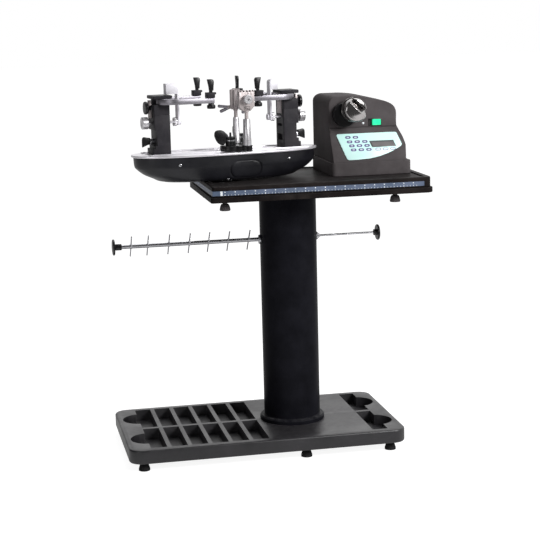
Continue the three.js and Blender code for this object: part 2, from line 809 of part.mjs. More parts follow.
// Post: foot with a guide tongue, cast body with windows, head block, neck and cap, with the arm pins
function postCasting(post, side) {
    const depth = half(postDepth);
    const slot = postHeight + headBlockHeight;
    const cap = slot + armSlotHeight;
    const seam = postSeamDepth;
    const foot = plate(evenRectangle(-postFootOuter, postInner, -depth, depth, postEdgeRound),
        gap, postFootHeight + gap, 0, 2);
    const column = (inset, z0, z1) => plate(evenRectangle(inset - postOuter, postInner - inset,
        inset - depth, depth - inset, postEdgeRound), z0, z1, 0, 2);
    const tongue = block(-half(postTongueLength), half(postTongueLength), gap - half(guideWidth),
        half(guideWidth) - gap, gap - guideDepth, gap + overrun);
    const neck = block(-neckOuter, 0, -neckHalfWidth, neckHalfWidth, slot - overrun, cap + overrun);
    const cover = plate(evenRectangle(-postOuter - capEdgeRound, capInner, -half(capDepth), half(capDepth),
        postEdgeRound), cap, cap + capThickness, capEdgeRound, 2);
    const armPins = [-1, 1].map((row) => barZ(armPinRadius, slot - overrun, cap + overrun,
        -armPivotOffset, row * armPivotSpread, smallSides));
    const recess = block(-postOuter - overrun, postRecessDepth - postOuter, -depth - overrun,
        depth + overrun, postRecessStart, postRecessEnd);
    const window = (z0, z1) => block(postInner - postWindowDepth, postInner + overrun,
        -half(postWindowWidth), half(postWindowWidth), z0, z1);
    const screw = barX(boreOf(screwRadius), -postOuter - overrun, postInner + overrun, 0, supportHeight);
    const pins = [-1, 1].map((row) => barX(boreOf(guidePinRadius, smallSides),
        supportPlace - guidePinLength - supportTravel, postInner + overrun,
        row * guidePinSpread, supportHeight, smallSides));
    const lever = barX(boreOf(leverStemRadius), postRecessDepth - postOuter - overrun,
        postRecessDepth - postOuter + leverStemLength + gap, 0, leverRise);
    const knobBore = barX(boreOf(armKnobShaftRadius), -postOuter - overrun,
        armKnobShaftLength - postOuter + gap, 0, postHeight + armKnobRise);
    const whole = cut(join(foot, column(0, postFootHeight, postHeight - seam),
        column(seam, postHeight - seam - overrun, postHeight + overrun), column(0, postHeight, slot),
        tongue, neck, cover, ...armPins), recess, window(postLowWindowStart, postLowWindowEnd),
    window(postHighWindowStart, postHighWindowEnd), screw, ...pins, lever, knobBore);
    add(post, `${side}_post`, whole, darkPost);
}

// Curved side arm: an eye on the pivot pin, a quarter bend and a straight bar with a slot for the clip
function sideArm(post, name, row) {
    const [inner, outer] = [armBend - half(armThickness), armBend + half(armThickness)];
    const [x, y] = [armBend - armPivotOffset, -armPivotSpread];
    const shape = new THREE.Shape();
    shape.absarc(x, y, outer, Math.PI, 1.5 * Math.PI, false);
    shape.lineTo(x + armReach, y - outer);
    shape.lineTo(x + armReach, y - inner);
    shape.absarc(x, y, inner, 1.5 * Math.PI, Math.PI, true);
    shape.closePath();
    const z0 = postHeight + headBlockHeight + gap;
    const z1 = z0 + armSlotHeight - 2 * gap;
    const bend = plate(shape, z0, z1, 0, smallSides);
    const eye = barZ(armEyeRadius, z0, z1, -armPivotOffset, -armPivotSpread);
    const hole = barZ(boreOf(armPinRadius, smallSides), z0 - overrun, z1 + overrun,
        -armPivotOffset, -armPivotSpread, smallSides);
    const slotEnd = x + armReach - armSlotInset;
    const slot = block(slotEnd - armSlotLength, slotEnd, y - armBend - half(armSlotWidth),
        y - armBend + half(armSlotWidth), z0 - overrun, z1 + overrun);
    const arm = cut(join(bend, eye), hole, slot);
    if (row > 0) arm.rotateX(Math.PI).translate(0, 0, z0 + z1);
    add(post, name, arm, brushedAluminium);
}

// Frame clip on an arm: a clawed block above, a nut below and the stem between them
function clipBlock(group, name) {
    const z0 = postHeight + headBlockHeight + armSlotHeight;
    const top = z0 + clipHeight;
    const [length, width] = [half(clipLength), half(clipWidth)];
    const body = plate(evenRectangle(-length, length - clipClawLength, -width, width, clipCutHeight),
        z0, top, 0, 2);
    const claw = block(length - 2 * clipClawLength, length, clipCutHeight - width, width - clipCutHeight,
        top - clipClawHeight, top);
    const nutTop = postHeight + headBlockHeight;
    const nutBottom = nutTop - clipNutHeight;
    const stem = barZ(clipStemRadius, nutTop - overrun, z0 + overrun, 0, 0, smallSides);
    const nut = turned([
        [0, nutBottom], [clipNutRadius - clipNutRound, nutBottom], [clipNutRadius, nutBottom + clipNutRound],
        [clipNutRadius, nutTop - clipNutRound], [clipNutRadius - clipNutRound, nutTop], [0, nutTop],
    ], footSides);
    const seat = barZ(boreOf(wingStemRadius), top - wingSeatDepth - gap, top + overrun);
    add(group, name, cut(join(body, claw, stem, nut), seat), darkPost);
}

// Fan-shaped wing outline that widens from its root, drawn upwards in x and z
const wingOutline = (width, height) => outline(sharePoints(wingAcrossShares, wingUpShares, width, height));

// Wing screw of a clip, turned about its upright stem
function clipKnob(group, name, turn) {
    const seat = postHeight + headBlockHeight + armSlotHeight + clipHeight;
    const collar = seat + gap + wingCollarHeight;
    const stem = barZ(wingStemRadius, seat - wingSeatDepth, seat + gap + overrun, 0, 0, smallSides);
    const ring = barZ(wingCollarRadius, seat + gap, collar, 0, 0, smallSides);
    const wing = uprightPlate(wingOutline(wingWidth, wingHeight), -half(wingThickness), half(wingThickness),
        wingEdgeRound).translate(0, 0, collar - overrun);
    add(group, name, join(stem, ring, wing).rotateZ(turn), blackPlastic);
}

// Black mushroom knob that spreads the arms
function armKnob(post, side) {
    const face = postOuter + gap;
    const rim = face + armKnobHubLength;
    const back = rim + armKnobThickness;
    const round = armKnobRound;
    const knob = turnedAgainstX([
        [0, postOuter - armKnobShaftLength], [armKnobShaftRadius, postOuter - armKnobShaftLength],
        [armKnobShaftRadius, face], [armKnobHubRadius, face], [armKnobHubRadius, half(face + rim)],
        [armKnobRadius - round, rim], [armKnobRadius, rim + round], [armKnobRadius, back - round],
        [armKnobRadius - round, back], [0, back],
    ]);
    add(post, `${side}_arm_knob`, knob.translate(0, 0, postHeight + armKnobRise), blackPlastic);
}

// Inner frame support: upright bar with a hook over the cap, a screw boss and two guide pins
function frameSupport(post, side) {
    const depth = half(supportDepth);
    const [x0, x1] = [supportPlace, supportPlace + supportThickness];
    const capTop = postHeight + headBlockHeight + armSlotHeight + capThickness;
    const hookBottom = capTop + supportHookClearance;
    const hookTop = hookBottom + supportHookHeight;
    const round = supportHookRound;
    const hookLength = side === 'left' ? leftHookLength : rightHookLength;
    const shape = new THREE.Shape();
    shape.moveTo(x0, supportHeight - supportDrop);
    shape.lineTo(x1, supportHeight - supportDrop);
    shape.lineTo(x1, hookTop - round);
    shape.absarc(x1 - round, hookTop - round, round, 0, Math.PI / 2, false);
    shape.lineTo(x1 - hookLength, hookTop);
    shape.lineTo(x1 - hookLength, hookBottom);
    shape.lineTo(x0, hookBottom);
    shape.closePath();
    const bar = uprightPlate(shape, -depth, depth);
    const boss = barX(supportBossRadius, x1 - overrun, x1 + supportBossLength, 0, supportHeight);
    const pins = [-1, 1].map((row) => barX(guidePinRadius, x0 - guidePinLength, x0 + overrun,
        row * guidePinSpread, supportHeight, smallSides));
    const bore = barX(boreOf(screwRadius), x0 - overrun, x1 + supportBossLength + overrun,
        0, supportHeight);
    add(post, `${side}_frame_support`, cut(join(bar, boss, ...pins), bore), castAluminium);
}

// Chrome knob and the screw that moves the frame support
function supportKnob(post, side) {
    const face = postOuter + screwShow;
    const tip = supportPlace + supportThickness + half(supportBossLength);
    const disc = face + chromeKnobHubLength;
    const back = disc + chromeKnobThickness;
    const knob = turnedAgainstX([
        [0, -tip], [screwRadius, -tip], [screwRadius, face], [chromeKnobHubRadius, face],
        [chromeKnobHubRadius, disc], [chromeKnobRadius - 1, disc], [chromeKnobRadius, disc + 1],
        [chromeKnobRadius, back - 1], [chromeKnobRadius - 1, back], [0, back],
    ]);
    add(post, `${side}_support_knob`, knob.translate(0, 0, supportHeight), chromePlate);
}

// Wing lever that locks the post to the turntable, turned about its stem
function postLever(post, side) {
    const face = postOuter - postRecessDepth;
    const collar = face + gap + leverCollarLength;
    const stem = barX(leverStemRadius, -face - gap - overrun, leverStemLength - face);
    const ring = barX(leverCollarRadius, -collar, -face - gap);
    const wing = uprightPlate(wingOutline(leverWingWidth, leverWingLength),
        -half(leverWingThickness), half(leverWingThickness), wingEdgeRound)
        .rotateY(-Math.PI / 2).translate(overrun - collar, 0, 0);
    add(post, `${side}_post_lever`, join(stem, ring, wing).translate(0, 0, leverRise), blackPlastic);
}

// One complete mounting post; the right one is the left one turned half round
function mountingPost(table, side) {
    const sign = side === 'left' ? -1 : 1;
    const post = place(table, sign * half(postSpacing), 0, plateTop, sign > 0 ? Math.PI : 0);
    postCasting(post, side);
    armKnob(post, side);
    supportKnob(post, side);
    frameSupport(post, side);
    postLever(post, side);
    for (const row of [-1, 1]) {
        const where = row === sign ? 'front' : 'rear';
        const away = where === 'front' ? rightFrontClipPlace : rightRearClipPlace;
        const wingTurned = sign > 0 && where === 'rear';
        const along = sign < 0 ? leftClipPlace : away;
        sideArm(post, `${side}_${where}_arm`, row);
        const clip = place(post, along, row * (armBend + armPivotSpread), 0);
        clipBlock(clip, `${side}_${where}_clip`);
        clipKnob(clip, `${side}_${where}_clip_knob`, wingTurned ? Math.PI / 2 : 0);
    }
}

// Clamp carriage: a shoe that straddles the rail, with the stud that the arm swivels on
function clampBase(group, name) {
    const [length, width] = [half(clampShoeLength), half(clampShoeWidth)];
    const top = railHeight + gap + clampShoeHeight;
    const shoe = block(-length, length, -width, width, gap, top);
    const groove = block(-length - overrun, length + overrun, -half(railWidth) - gap, half(railWidth) + gap,
        -overrun, railHeight + gap);
    const stud = barZ(clampStudRadius, top - overrun, railHeight + gap + clampStudHeight);
    add(group, name, join(cut(shoe, groove), stud), stainlessSteel);
}

// Clamp arm: disc over the carriage, web, boss and the sleeve that holds the clamp head
function clampArm(group, name) {
    const bottom = railHeight + gap;
    const top = bottom + clampDiscHeight;
    const disc = barZ(clampDiscRadius, bottom, top, 0, 0, fineSides);
    const web = block(0, clampReach, -half(clampWebWidth), half(clampWebWidth), bottom, top - overrun);
    const boss = barZ(clampBossRadius, bottom, bottom + clampBossHeight, clampReach);
    const low = bottom + clampBossHeight + sleeveLowHeight;
    const sleeve = join(barZ(sleeveLowRadius, bottom + overrun, low, clampReach),
        barZ(sleeveRadius, low - overrun, low + sleeveHeight, clampReach));
    const room = barZ(clampShoeRoomRadius, bottom - overrun, bottom + clampShoeHeight + gap);
    const hole = barZ(boreOf(clampStudRadius), bottom, top + overrun);
    const bore = barZ(boreOf(clampRodRadius), low + sleeveHeight - clampRodSocket - gap,
        low + sleeveHeight + overrun, clampReach);
    add(group, name, cut(join(disc, web, boss, sleeve), room, hole, bore), blackPlastic);
}

// Outline of a clamp jaw: square shoulders, a narrow foot and a row of teeth on top
function jawOutline() {
    const [wide, foot] = [half(jawWidth), half(jawFootWidth)];
    const points = [[-foot, 0], [foot, 0], [wide, jawShoulder], [wide, jawHeight]];
    const pitch = jawWidth / jawToothCount;
    for (let tooth = 0; tooth < jawToothCount; tooth += 1) {
        const right = wide - tooth * pitch;
        points.push([right - toothStartShare * pitch, jawHeight],
            [right - half(pitch), jawHeight - jawToothDepth], [right - toothEndShare * pitch, jawHeight]);
    }
    points.push([-wide, jawHeight], [-wide, jawShoulder]);
    return outline(points);
}

// Clamp head: rod, two jaws with a string slit between them, joined at the foot, and lugs behind
function clampHead(group, name) {
    const rodTop = sleeveTop() + clampRodShow;
    const rod = barZ(clampRodRadius, sleeveTop() - clampRodSocket, rodTop + overrun);
    const slit = half(jawSlit);
    const back = slit + jawBackThickness;
    const frontJaw = uprightPlate(jawOutline(), -slit - jawThickness, -slit).translate(0, 0, rodTop);
    const backJaw = uprightPlate(jawOutline(), slit, back).translate(0, 0, rodTop);
    const foot = half(jawFootWidth);
    const bridge = block(-foot, foot, -slit - jawThickness, back, rodTop, rodTop + jawBridgeHeight);
    const [pinY, pinZ] = fingerPivot();
    const barrel = half(fingerBarrelLength) + gap;
    const lugs = [-1, 1].map((side) => barX(fingerBarrelRadius, ...(side < 0
        ? [-barrel - fingerLugThickness, -barrel] : [barrel, barrel + fingerLugThickness]), pinY, pinZ));
    const lugRoots = [-1, 1].map((side) => block(...(side < 0
        ? [-barrel - fingerLugThickness, -barrel] : [barrel, barrel + fingerLugThickness]),
    back - overrun, pinY, pinZ - fingerBarrelRadius, pinZ + fingerBarrelRadius));
    const pin = barX(fingerPinRadius, -barrel - overrun, barrel + overrun, pinY, pinZ, smallSides);
    const hole = barY(boreOf(adjusterSpindleRadius), -slit - jawThickness - overrun,
        back + overrun, 0, rodTop + adjusterRise);
    const whole = cut(join(rod, frontJaw, backJaw, bridge, ...lugs, ...lugRoots, pin), hole);
    add(group, name, whole, castAluminium);
}
const sleeveTop = () => railHeight + gap + clampBossHeight + sleeveLowHeight + sleeveHeight;
const fingerPivot = () => [half(jawSlit) + jawBackThickness + gap + fingerBarrelRadius,
    sleeveTop() + clampRodShow + fingerPivotRise];

// Grip adjuster: knob in front of the jaws, spindle through them and a nut behind
function clampAdjuster(group, name) {
    const front = -half(jawSlit) - jawThickness - gap;
    const back = half(jawSlit) + jawBackThickness + gap;
    const knob = barY(adjusterRadius, front - adjusterLength, front);
    const spindle = barY(adjusterSpindleRadius, front - overrun, back + overrun);
    const nut = barY(adjusterNutRadius, back, back + adjusterNutLength, 0, 0, pinSides);
    add(group, name, join(knob, spindle, nut)
        .translate(0, 0, sleeveTop() + clampRodShow + adjusterRise), chromePlate);
}

// Finger lever that closes the jaws: a barrel on its pin and two prongs
function clampLever(group, name) {
    const barrel = barX(fingerBarrelRadius, -half(fingerBarrelLength), half(fingerBarrelLength));
    const prong = (x, degrees) => barY(fingerRadius, 0, fingerLength, 0, 0, smallSides)
        .rotateX(radians(degrees)).translate(x, 0, 0);
    const bore = barX(boreOf(fingerPinRadius, smallSides), -fingerBarrelLength, fingerBarrelLength,
        0, 0, smallSides);
    const lever = cut(join(barrel, prong(-fingerSpread, upperFingerDegrees),
        prong(fingerSpread, lowerFingerDegrees)), bore);
    add(group, name, lever.translate(0, ...fingerPivot()), stainlessSteel);
}

// Base lock: hub stack on the stud with a tall thumb paddle
function clampLock(group, name) {
    const bottom = railHeight + gap + clampDiscHeight + gap;
    const ring = bottom + lockHubHeight;
    const knob = ring + lockRingHeight;
    const top = knob + lockKnobHeight;
    const room = railHeight + gap + clampStudHeight + gap;
    const bore = boreOf(clampStudRadius);
    const stack = turned([
        [0, bottom], [lockHubRadius, bottom], [lockHubRadius, ring],
        [lockRingRadius, ring], [lockRingRadius, knob], [lockKnobRadius, knob], [lockKnobRadius, top],
        [lockTipRadius, top], [lockTipRadius, top + lockTipHeight], [0, top + lockTipHeight],
    ]);
    const shape = outline(sharePoints(paddleAcrossShares, paddleUpShares, paddleLength, paddleHeight));
    const paddle = uprightPlate(shape, -half(paddleThickness), half(paddleThickness), paddleEdgeRound)
        .translate(0, 0, bottom + overrun);
    add(group, name, cut(join(stack, paddle), barZ(bore, bottom - overrun, room)), blackPlastic);
}

// One complete string clamp on its rail
function stringClamp(table, side) {
    const row = side === 'front' ? -1 : 1;
    const x = row < 0 ? frontClampPlace : rearClampPlace;
    const turn = radians(row < 0 ? frontClampDegrees : rearClampDegrees);
    const foot = place(table, x, row * half(railSpacing), plateTop);
    clampBase(foot, `${side}_clamp_base`);
    const lockTurn = radians(row < 0 ? frontLockDegrees : rearLockDegrees);
    clampLock(place(foot, 0, 0, 0, lockTurn), `${side}_clamp_lock`);
    const arm = place(foot, 0, 0, 0, turn);
    clampArm(arm, `${side}_clamp_arm`);
    const headTurn = radians(row < 0 ? frontHeadDegrees : rearHeadDegrees);
    const head = place(arm, clampReach, 0, 0, headTurn - turn);
    clampHead(head, `${side}_clamp_head`);
    clampAdjuster(head, `${side}_clamp_adjuster`);
    clampLever(head, `${side}_clamp_lever`);
}

// Plinth of the tension head: an open-topped tray
function plinth(root) {
    const [left, right] = [columnOffset + plinthLeft, columnOffset + plinthRight];
    const shape = (wall) => evenRectangle(left + wall, right - wall, wall - plinthFront, plinthBack - wall,
        plinthCornerRadius - half(wall));
    const bottom = trayFloor + gap;
    const body = plate(shape(0), bottom, plinthTop, plinthEdgeRound);
    const room = plate(shape(plinthWall + plinthEdgeRound), bottom + plinthWall, plinthTop + overrun);
    add(root, 'head_plinth', cut(body, room), charcoalPlastic);
}

// Front outline of the housing in x and z, drawn in by a wall
function housingFront(wall) {
    const left = columnOffset + plinthLeft + housingLeftInset + wall;
    const [width, height] = [housingWidth - 2 * wall, housingHeight - wall];
    const [bottom, top] = [housingBottom - (wall ? overrun : 0), housingBottom + height];
    const corner = housingCornerRadius - half(wall);
    const shape = new THREE.Shape();
    shape.moveTo(left, bottom);
    const flank = sharePoints(housingAcrossShares, housingUpShares, width, height);
    flank.forEach(([x, up]) => shape.lineTo(left + x, Math.max(bottom, housingBottom + up)));
    if (wall) shape.curves[0] = new THREE.LineCurve(new THREE.Vector2(left, bottom), shape.curves[0].v2);
    const crown = sharePoints(housingCrownAcrossShares, housingCrownUpShares, width, height);
    shape.splineThru(crown.slice(1).map(([x, up]) => new THREE.Vector2(left + x, housingBottom + up)));
    shape.lineTo(left + corner, top);
    shape.absarc(left + corner, top - corner, corner, Math.PI / 2, Math.PI, false);
    shape.closePath();
    return shape;
}

// Side outline of the housing in y and z: sloped desk below, upright panel above
function housingSide(wall) {
    const bottom = housingBottom - (wall ? overrun : 0);
    const front = housingFoot() + wall;
    const panel = housingPanel() + wall;
    const back = plinthBack - wall;
    const top = housingBottom + housingHeight + (wall ? -wall : overrun);
    const slopeTop = housingBottom + housingSlopeTop;
    const round = housingBackRound - half(wall);
    const shape = new THREE.Shape();
    shape.moveTo(front, bottom);
    shape.lineTo(back, bottom);
    shape.lineTo(back, top - round);
    shape.absarc(back - round, top - round, round, 0, Math.PI / 2, false);
    shape.lineTo(panel, top);
    shape.lineTo(panel, slopeTop + housingLedge);
    shape.lineTo(panel - housingLedge, slopeTop);
    shape.lineTo(front, housingBottom + housingSlopeFoot);
    shape.closePath();
    return shape;
}
const housingFoot = () => housingFootInset - plinthFront;
const housingPanel = () => housingFoot() + housingPanelSetback;

// The housing shell, with openings for the drum shaft, the switch and the inlet
function housing(root) {
    const reach = columnOffset + plinthRight + housingWidth;
    const shell = (wall, extra) => {
        const front = uprightPlate(housingFront(wall), -plinthFront - extra, plinthBack + extra);
        const profile = new THREE.ExtrudeGeometry(housingSide(wall), {
            depth: reach, curveSegments: 3, steps: 1, bevelEnabled: false,
        });
        profile.applyMatrix4(new THREE.Matrix4().makeBasis(
            new THREE.Vector3(0, 1, 0), new THREE.Vector3(0, 0, 1), new THREE.Vector3(1, 0, 0)));
        return common(front, profile);
    };
    const panel = housingPanel();
    const wallBack = panel + housingWall + overrun;
    const [drumX, drumZ] = drumAxis();
    const shaftHole = barY(boreOf(drumShaftRadius), panel - overrun, wallBack, drumX, drumZ);
    const [switchX, switchZ] = [columnOffset + switchPlaceX, housingBottom + switchRise];
    const [width, height] = [half(switchWidth) + gap, half(switchHeight) + gap];
    const switchHole = block(switchX - width - switchRecess, switchX + width, panel - overrun, wallBack,
        switchZ - height, switchZ + height);
    const [inletX, inletZ] = [columnOffset + inletPlaceX, housingBottom + inletRise];
    const inletHole = block(inletX - half(inletWidth) - gap, inletX + half(inletWidth) + gap,
        plinthBack - housingWall - overrun, plinthBack + overrun,
        inletZ - half(inletHeight) - gap, inletZ + half(inletHeight) + gap);
    const whole = cut(shell(0, 0), shell(housingWall, overrun), shaftHole, switchHole, inletHole);
    add(root, 'head_housing', whole, charcoalPlastic);
}
const drumAxis = () => [columnOffset + bossPlaceX + drumOffsetX, housingBottom + bossRise + drumOffsetZ];

// Control panel on the sloped desk, with a slanted left edge and a swept lower edge
function controlPanel(root) {
    const points = sharePoints(panelAcrossShares, panelDownShares, panelWidth, -panelHeight);
    const [foot, top] = [housingBottom + housingSlopeFoot, housingBottom + housingSlopeTop];
    const lean = Math.atan2(housingPanelSetback - housingLedge, top - foot);
    const sheet = plate(outline(points.reverse()), gap, gap + panelThickness);
    sheet.translate(0, -panelTopInset, 0).rotateX(Math.PI / 2 - lean);
    const left = columnOffset + plinthLeft + housingLeftInset + panelSideInset;
    add(root, 'control_panel', sheet.translate(left, housingPanel() - housingLedge, top), panelFilm);
}

// Gripper: fixed boss on the panel, drum on its shaft and the moving jaw across the slot
function gripper(root) {
    const panel = housingPanel();
    const [bossX, bossZ] = [columnOffset + bossPlaceX, housingBottom + bossRise];
    const [drumX, drumZ] = drumAxis();
    const face = panel - gap - bossThickness;
    const boss = barY(bossRadius, face, panel - gap, bossX, bossZ, fineSides);
    const hole = barY(boreOf(drumShaftRadius), face - overrun, panel + overrun, drumX, drumZ);
    add(root, 'gripper_boss', cut(boss, hole), blackPlastic);

    const flangeBack = face - drumGap;
    const flangeFront = flangeBack - drumFlangeThickness;
    const front = flangeFront - drumBodyLength;
    const shaft = barY(drumShaftRadius, flangeBack - overrun, panel + drumShaftInset);
    const flange = barY(drumFlangeRadius, flangeFront, flangeBack, 0, 0, fineSides);
    const turn = drumFaceRound * drumFaceShare;
    const body = turned([
        [0, 0], [drumBodyRadius, 0], [drumBodyRadius, drumBodyLength - drumFaceRound],
        [drumBodyRadius - turn, drumBodyLength - turn], [drumBodyRadius - drumFaceRound, drumBodyLength],
        [0, drumBodyLength],
    ], fineSides).rotateX(Math.PI / 2).translate(0, flangeFront, 0);
    const reach = 2 * drumBodyRadius;
    const floor = flangeFront - drumSlotFloor;
    const slant = radians(-drumSlotDegrees);
    const beyond = (away, deep) => block(-reach, reach, front - overrun, deep, away, reach).rotateY(slant);
    const lean = Math.atan2(drumRampDepth, drumSlotOffset - drumRampStart);
    const ramp = block(-reach, reach, -reach, 0, 0, reach).rotateX(-lean)
        .translate(0, front, drumRampStart).rotateY(slant);
    const drum = join(shaft, flange, cut(body, beyond(drumSlotOffset, floor), ramp));
    body.translate(0, drumJawSetback, 0);
    const jaw = common(body, beyond(drumSlotOffset + drumSlotWidth, floor - gap));
    add(root, 'gripper_drum', drum.translate(drumX, 0, drumZ), chromePlate);
    add(root, 'gripper_jaw', jaw.translate(drumX, 0, drumZ), chromePlate);
}

// Rocker switch in the panel
function powerSwitch(root) {
    const panel = housingPanel();
    const [x, z] = [columnOffset + switchPlaceX, housingBottom + switchRise];
    const [wide, high] = [half(switchWidth), half(switchHeight)];
    const shape = outline([
        [-wide, switchDepth], [-wide, -switchProud * switchLowShare], [0, -switchProud * switchCrestShare],
        [wide, -switchProud], [wide, switchDepth],
    ]);
    add(root, 'power_switch', plate(shape, z - high, z + high).translate(x, panel, 0), greenLens);
}

// Mains inlet in the back wall
function powerInlet(root) {
    const [x, z] = [columnOffset + inletPlaceX, housingBottom + inletRise];
    const back = plinthBack + inletProud;
    const body = block(x - half(inletWidth), x + half(inletWidth), back - inletDepth, back,
        z - half(inletHeight), z + half(inletHeight));
    const socket = block(x - half(inletHoleWidth), x + half(inletHoleWidth), back - inletHoleDepth,
        back + overrun, z - half(inletHoleHeight), z + half(inletHoleHeight));
    add(root, 'power_inlet', cut(body, socket), blackPlastic);
}

// Gearbox and motor inside the housing, on the inside of the front panel
function tensionDrive(root) {
    const [x, z] = drumAxis();
    const front = housingPanel() + housingWall + gap;
    const back = front + driveDepth;
    const box = block(x - half(driveWidth), x + half(driveWidth), front, back,
        z - half(driveHeight) - drumShaftRadius, z + half(driveHeight) - drumShaftRadius);
    const motor = barY(motorRadius, back - overrun, back + motorLength, x, z - drumShaftRadius);
    const bore = barY(boreOf(drumShaftRadius), front - overrun, housingPanel() + drumShaftInset + gap, x, z);
    add(root, 'tension_drive', cut(join(box, motor), bore), castAluminium);
}

// The whole machine
const machine = new THREE.Group();
const root = place(machine, 0, 0, 0);
baseTray(root);
baseFeet(root);
column(root);
dividerRod(root);
reelRod(root);
consoleTray(root);
rulerStrip(root);
turntablePillar(root);
plinth(root);
housing(root);
controlPanel(root);
gripper(root);
powerSwitch(root);
powerInlet(root);
tensionDrive(root);

const table = place(root, columnOffset - turntableOffset, 0, 0, radians(turntableRestDegrees));
turntableHull(table);
turntablePlate(table);
mountingPost(table, 'left');
mountingPost(table, 'right');
stringClamp(table, 'front');
stringClamp(table, 'rear');

// The origin is under the middle of the whole machine's outer box, on the floor
machine.updateMatrixWorld(true);
const bounds = new THREE.Box3().setFromObject(machine, true);
const middle = bounds.getCenter(new THREE.Vector3());
root.position.set(-middle.x, -middle.y, -bounds.min.z);

export default machine;
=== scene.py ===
# %% [markdown]
# # A racket stringing machine on its storage stand
# The machine has four parts that a maker would build one after another: the stand with its slots, the
# console tray, the turntable with its posts and clamps, and the tension head that pulls the string. The
# solids of all parts come in as a fixed frame. Each step below explains one piece or one finish, and
# then models it over the frame, in metres, with the frame's own place and size.

# %% Load the frame and measure it
import json
import math

import bmesh
import bpy
from mathutils import Matrix, Vector

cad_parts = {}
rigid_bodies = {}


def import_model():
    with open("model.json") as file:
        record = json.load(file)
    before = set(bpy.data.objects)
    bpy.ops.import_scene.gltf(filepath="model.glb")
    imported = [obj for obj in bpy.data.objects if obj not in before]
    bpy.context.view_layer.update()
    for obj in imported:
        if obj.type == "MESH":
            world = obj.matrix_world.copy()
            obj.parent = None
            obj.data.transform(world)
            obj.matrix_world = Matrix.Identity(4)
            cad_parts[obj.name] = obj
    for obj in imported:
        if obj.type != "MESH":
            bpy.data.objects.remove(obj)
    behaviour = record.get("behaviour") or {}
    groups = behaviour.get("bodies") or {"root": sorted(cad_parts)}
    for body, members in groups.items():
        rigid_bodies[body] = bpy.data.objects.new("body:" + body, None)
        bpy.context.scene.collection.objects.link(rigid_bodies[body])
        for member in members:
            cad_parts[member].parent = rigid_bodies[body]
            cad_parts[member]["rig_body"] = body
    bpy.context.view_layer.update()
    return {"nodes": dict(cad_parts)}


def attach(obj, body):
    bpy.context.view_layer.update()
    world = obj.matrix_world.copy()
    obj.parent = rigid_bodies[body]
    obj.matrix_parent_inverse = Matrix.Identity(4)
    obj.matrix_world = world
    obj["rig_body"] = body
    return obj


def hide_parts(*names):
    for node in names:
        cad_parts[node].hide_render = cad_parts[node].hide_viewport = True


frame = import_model()
bpy.ops.object.select_all(action="DESELECT")

# %% [markdown]
# ## Camera
# The machine is seen from the front, a little from the left and from above, through a long lens, so
# that its upright column stays upright. Place, target and lens were found by matching points of the
# solids with the same points of the photograph. The camera leans a little, as a held camera does.

# %% Place the camera
CAMERA_PLACE = Vector((-0.8232, -4.1412, 1.2813))
CAMERA_TARGET = Vector((0.0101, 0.0, 0.512))
CAMERA_ROLL = math.radians(-1.45)

forward = (CAMERA_TARGET - CAMERA_PLACE).normalized()
level_right = forward.cross(Vector((0, 0, 1))).normalized()
level_up = level_right.cross(forward)
camera_right = math.cos(CAMERA_ROLL) * level_right + math.sin(CAMERA_ROLL) * level_up
camera_up = math.cos(CAMERA_ROLL) * level_up - math.sin(CAMERA_ROLL) * level_right
camera_turn = Matrix((camera_right, camera_up, -forward)).transposed().to_4x4()
bpy.ops.object.camera_add()
camera = bpy.context.object
camera.name = "camera"
camera.matrix_world = Matrix.Translation(CAMERA_PLACE) @ camera_turn
camera.data.lens = 98.28
camera.data.sensor_width = 36.0
camera.data.clip_end = 50.0
bpy.context.scene.camera = camera
print("camera looks along", [round(x, 3) for x in forward])

# %% [markdown]
# ## Floor, world and lamps
# Black plastic and chrome are only seen by what they reflect. The room is white behind the machine,
# which gives the light edges on top of the trays, and dark in front, which keeps the upright faces and
# the face of the chrome drum dark. The camera sees white all round. The floor is plain and white and
# keeps the machine's soft shadow, and looks paler to the camera than in reflections. The main softbox
# stands in front on the right, so that the left side of the head falls into shade, and weaker ones
# stand left and above.

# %% Helpers for shader nodes


def add_node(tree, kind, inputs=None, **settings):
    """Adds a shader node with its settings. Each input is a number, a colour or the socket that feeds it."""
    node = tree.nodes.new("ShaderNode" + kind)
    for name, value in settings.items():
        setattr(node, name, value)
    for name, value in (inputs or {}).items():
        if isinstance(value, bpy.types.NodeSocket):
            tree.links.new(value, node.inputs[name])
        else:
            node.inputs[name].default_value = value
    return node


def calculated(tree, operation, *values):
    """What a Math node makes of numbers or sockets."""
    return add_node(tree, "Math", dict(enumerate(values)), operation=operation).outputs[0]


def value_range(tree, source, low, high, to_low=0.0, to_high=1.0, **settings):
    """Maps a value from one range to another, held inside it."""
    inputs = {"Value": source, "From Min": low, "From Max": high, "To Min": to_low, "To Max": to_high}
    return add_node(tree, "MapRange", inputs, **settings).outputs["Result"]


def ray_mask(tree, *rays):
    """One for rays of the named kinds, else zero."""
    path = add_node(tree, "LightPath")
    mask = path.outputs[rays[0]]
    for ray in rays[1:]:
        mask = calculated(tree, "MAXIMUM", mask, path.outputs[ray])
    return mask


print("node helpers ready")

# %% Light the room
scene = bpy.context.scene
scene.view_settings.view_transform = "Standard"
scene.world = bpy.data.worlds.new("room")
scene.world.use_nodes = True
room = scene.world.node_tree
room.nodes.clear()
direction = add_node(room, "TexCoord")
BACK_RIGHT = (0.7, 0.71, 0)


def level_to_back(low, high, dark, light):
    """The room's brightness by how far a direction points to the back and right."""
    inputs = {0: direction.outputs["Generated"], 1: BACK_RIGHT}
    along = add_node(room, "VectorMath", inputs, operation="DOT_PRODUCT")
    return value_range(room, along.outputs["Value"], low, high, dark, light, interpolation_type="SMOOTHSTEP")


def switched(mask, otherwise, chosen):
    """One brightness for the rays of a mask and another for the rest."""
    return add_node(room, "Mix", {"Factor": mask, "A": otherwise, "B": chosen}).outputs["Result"]


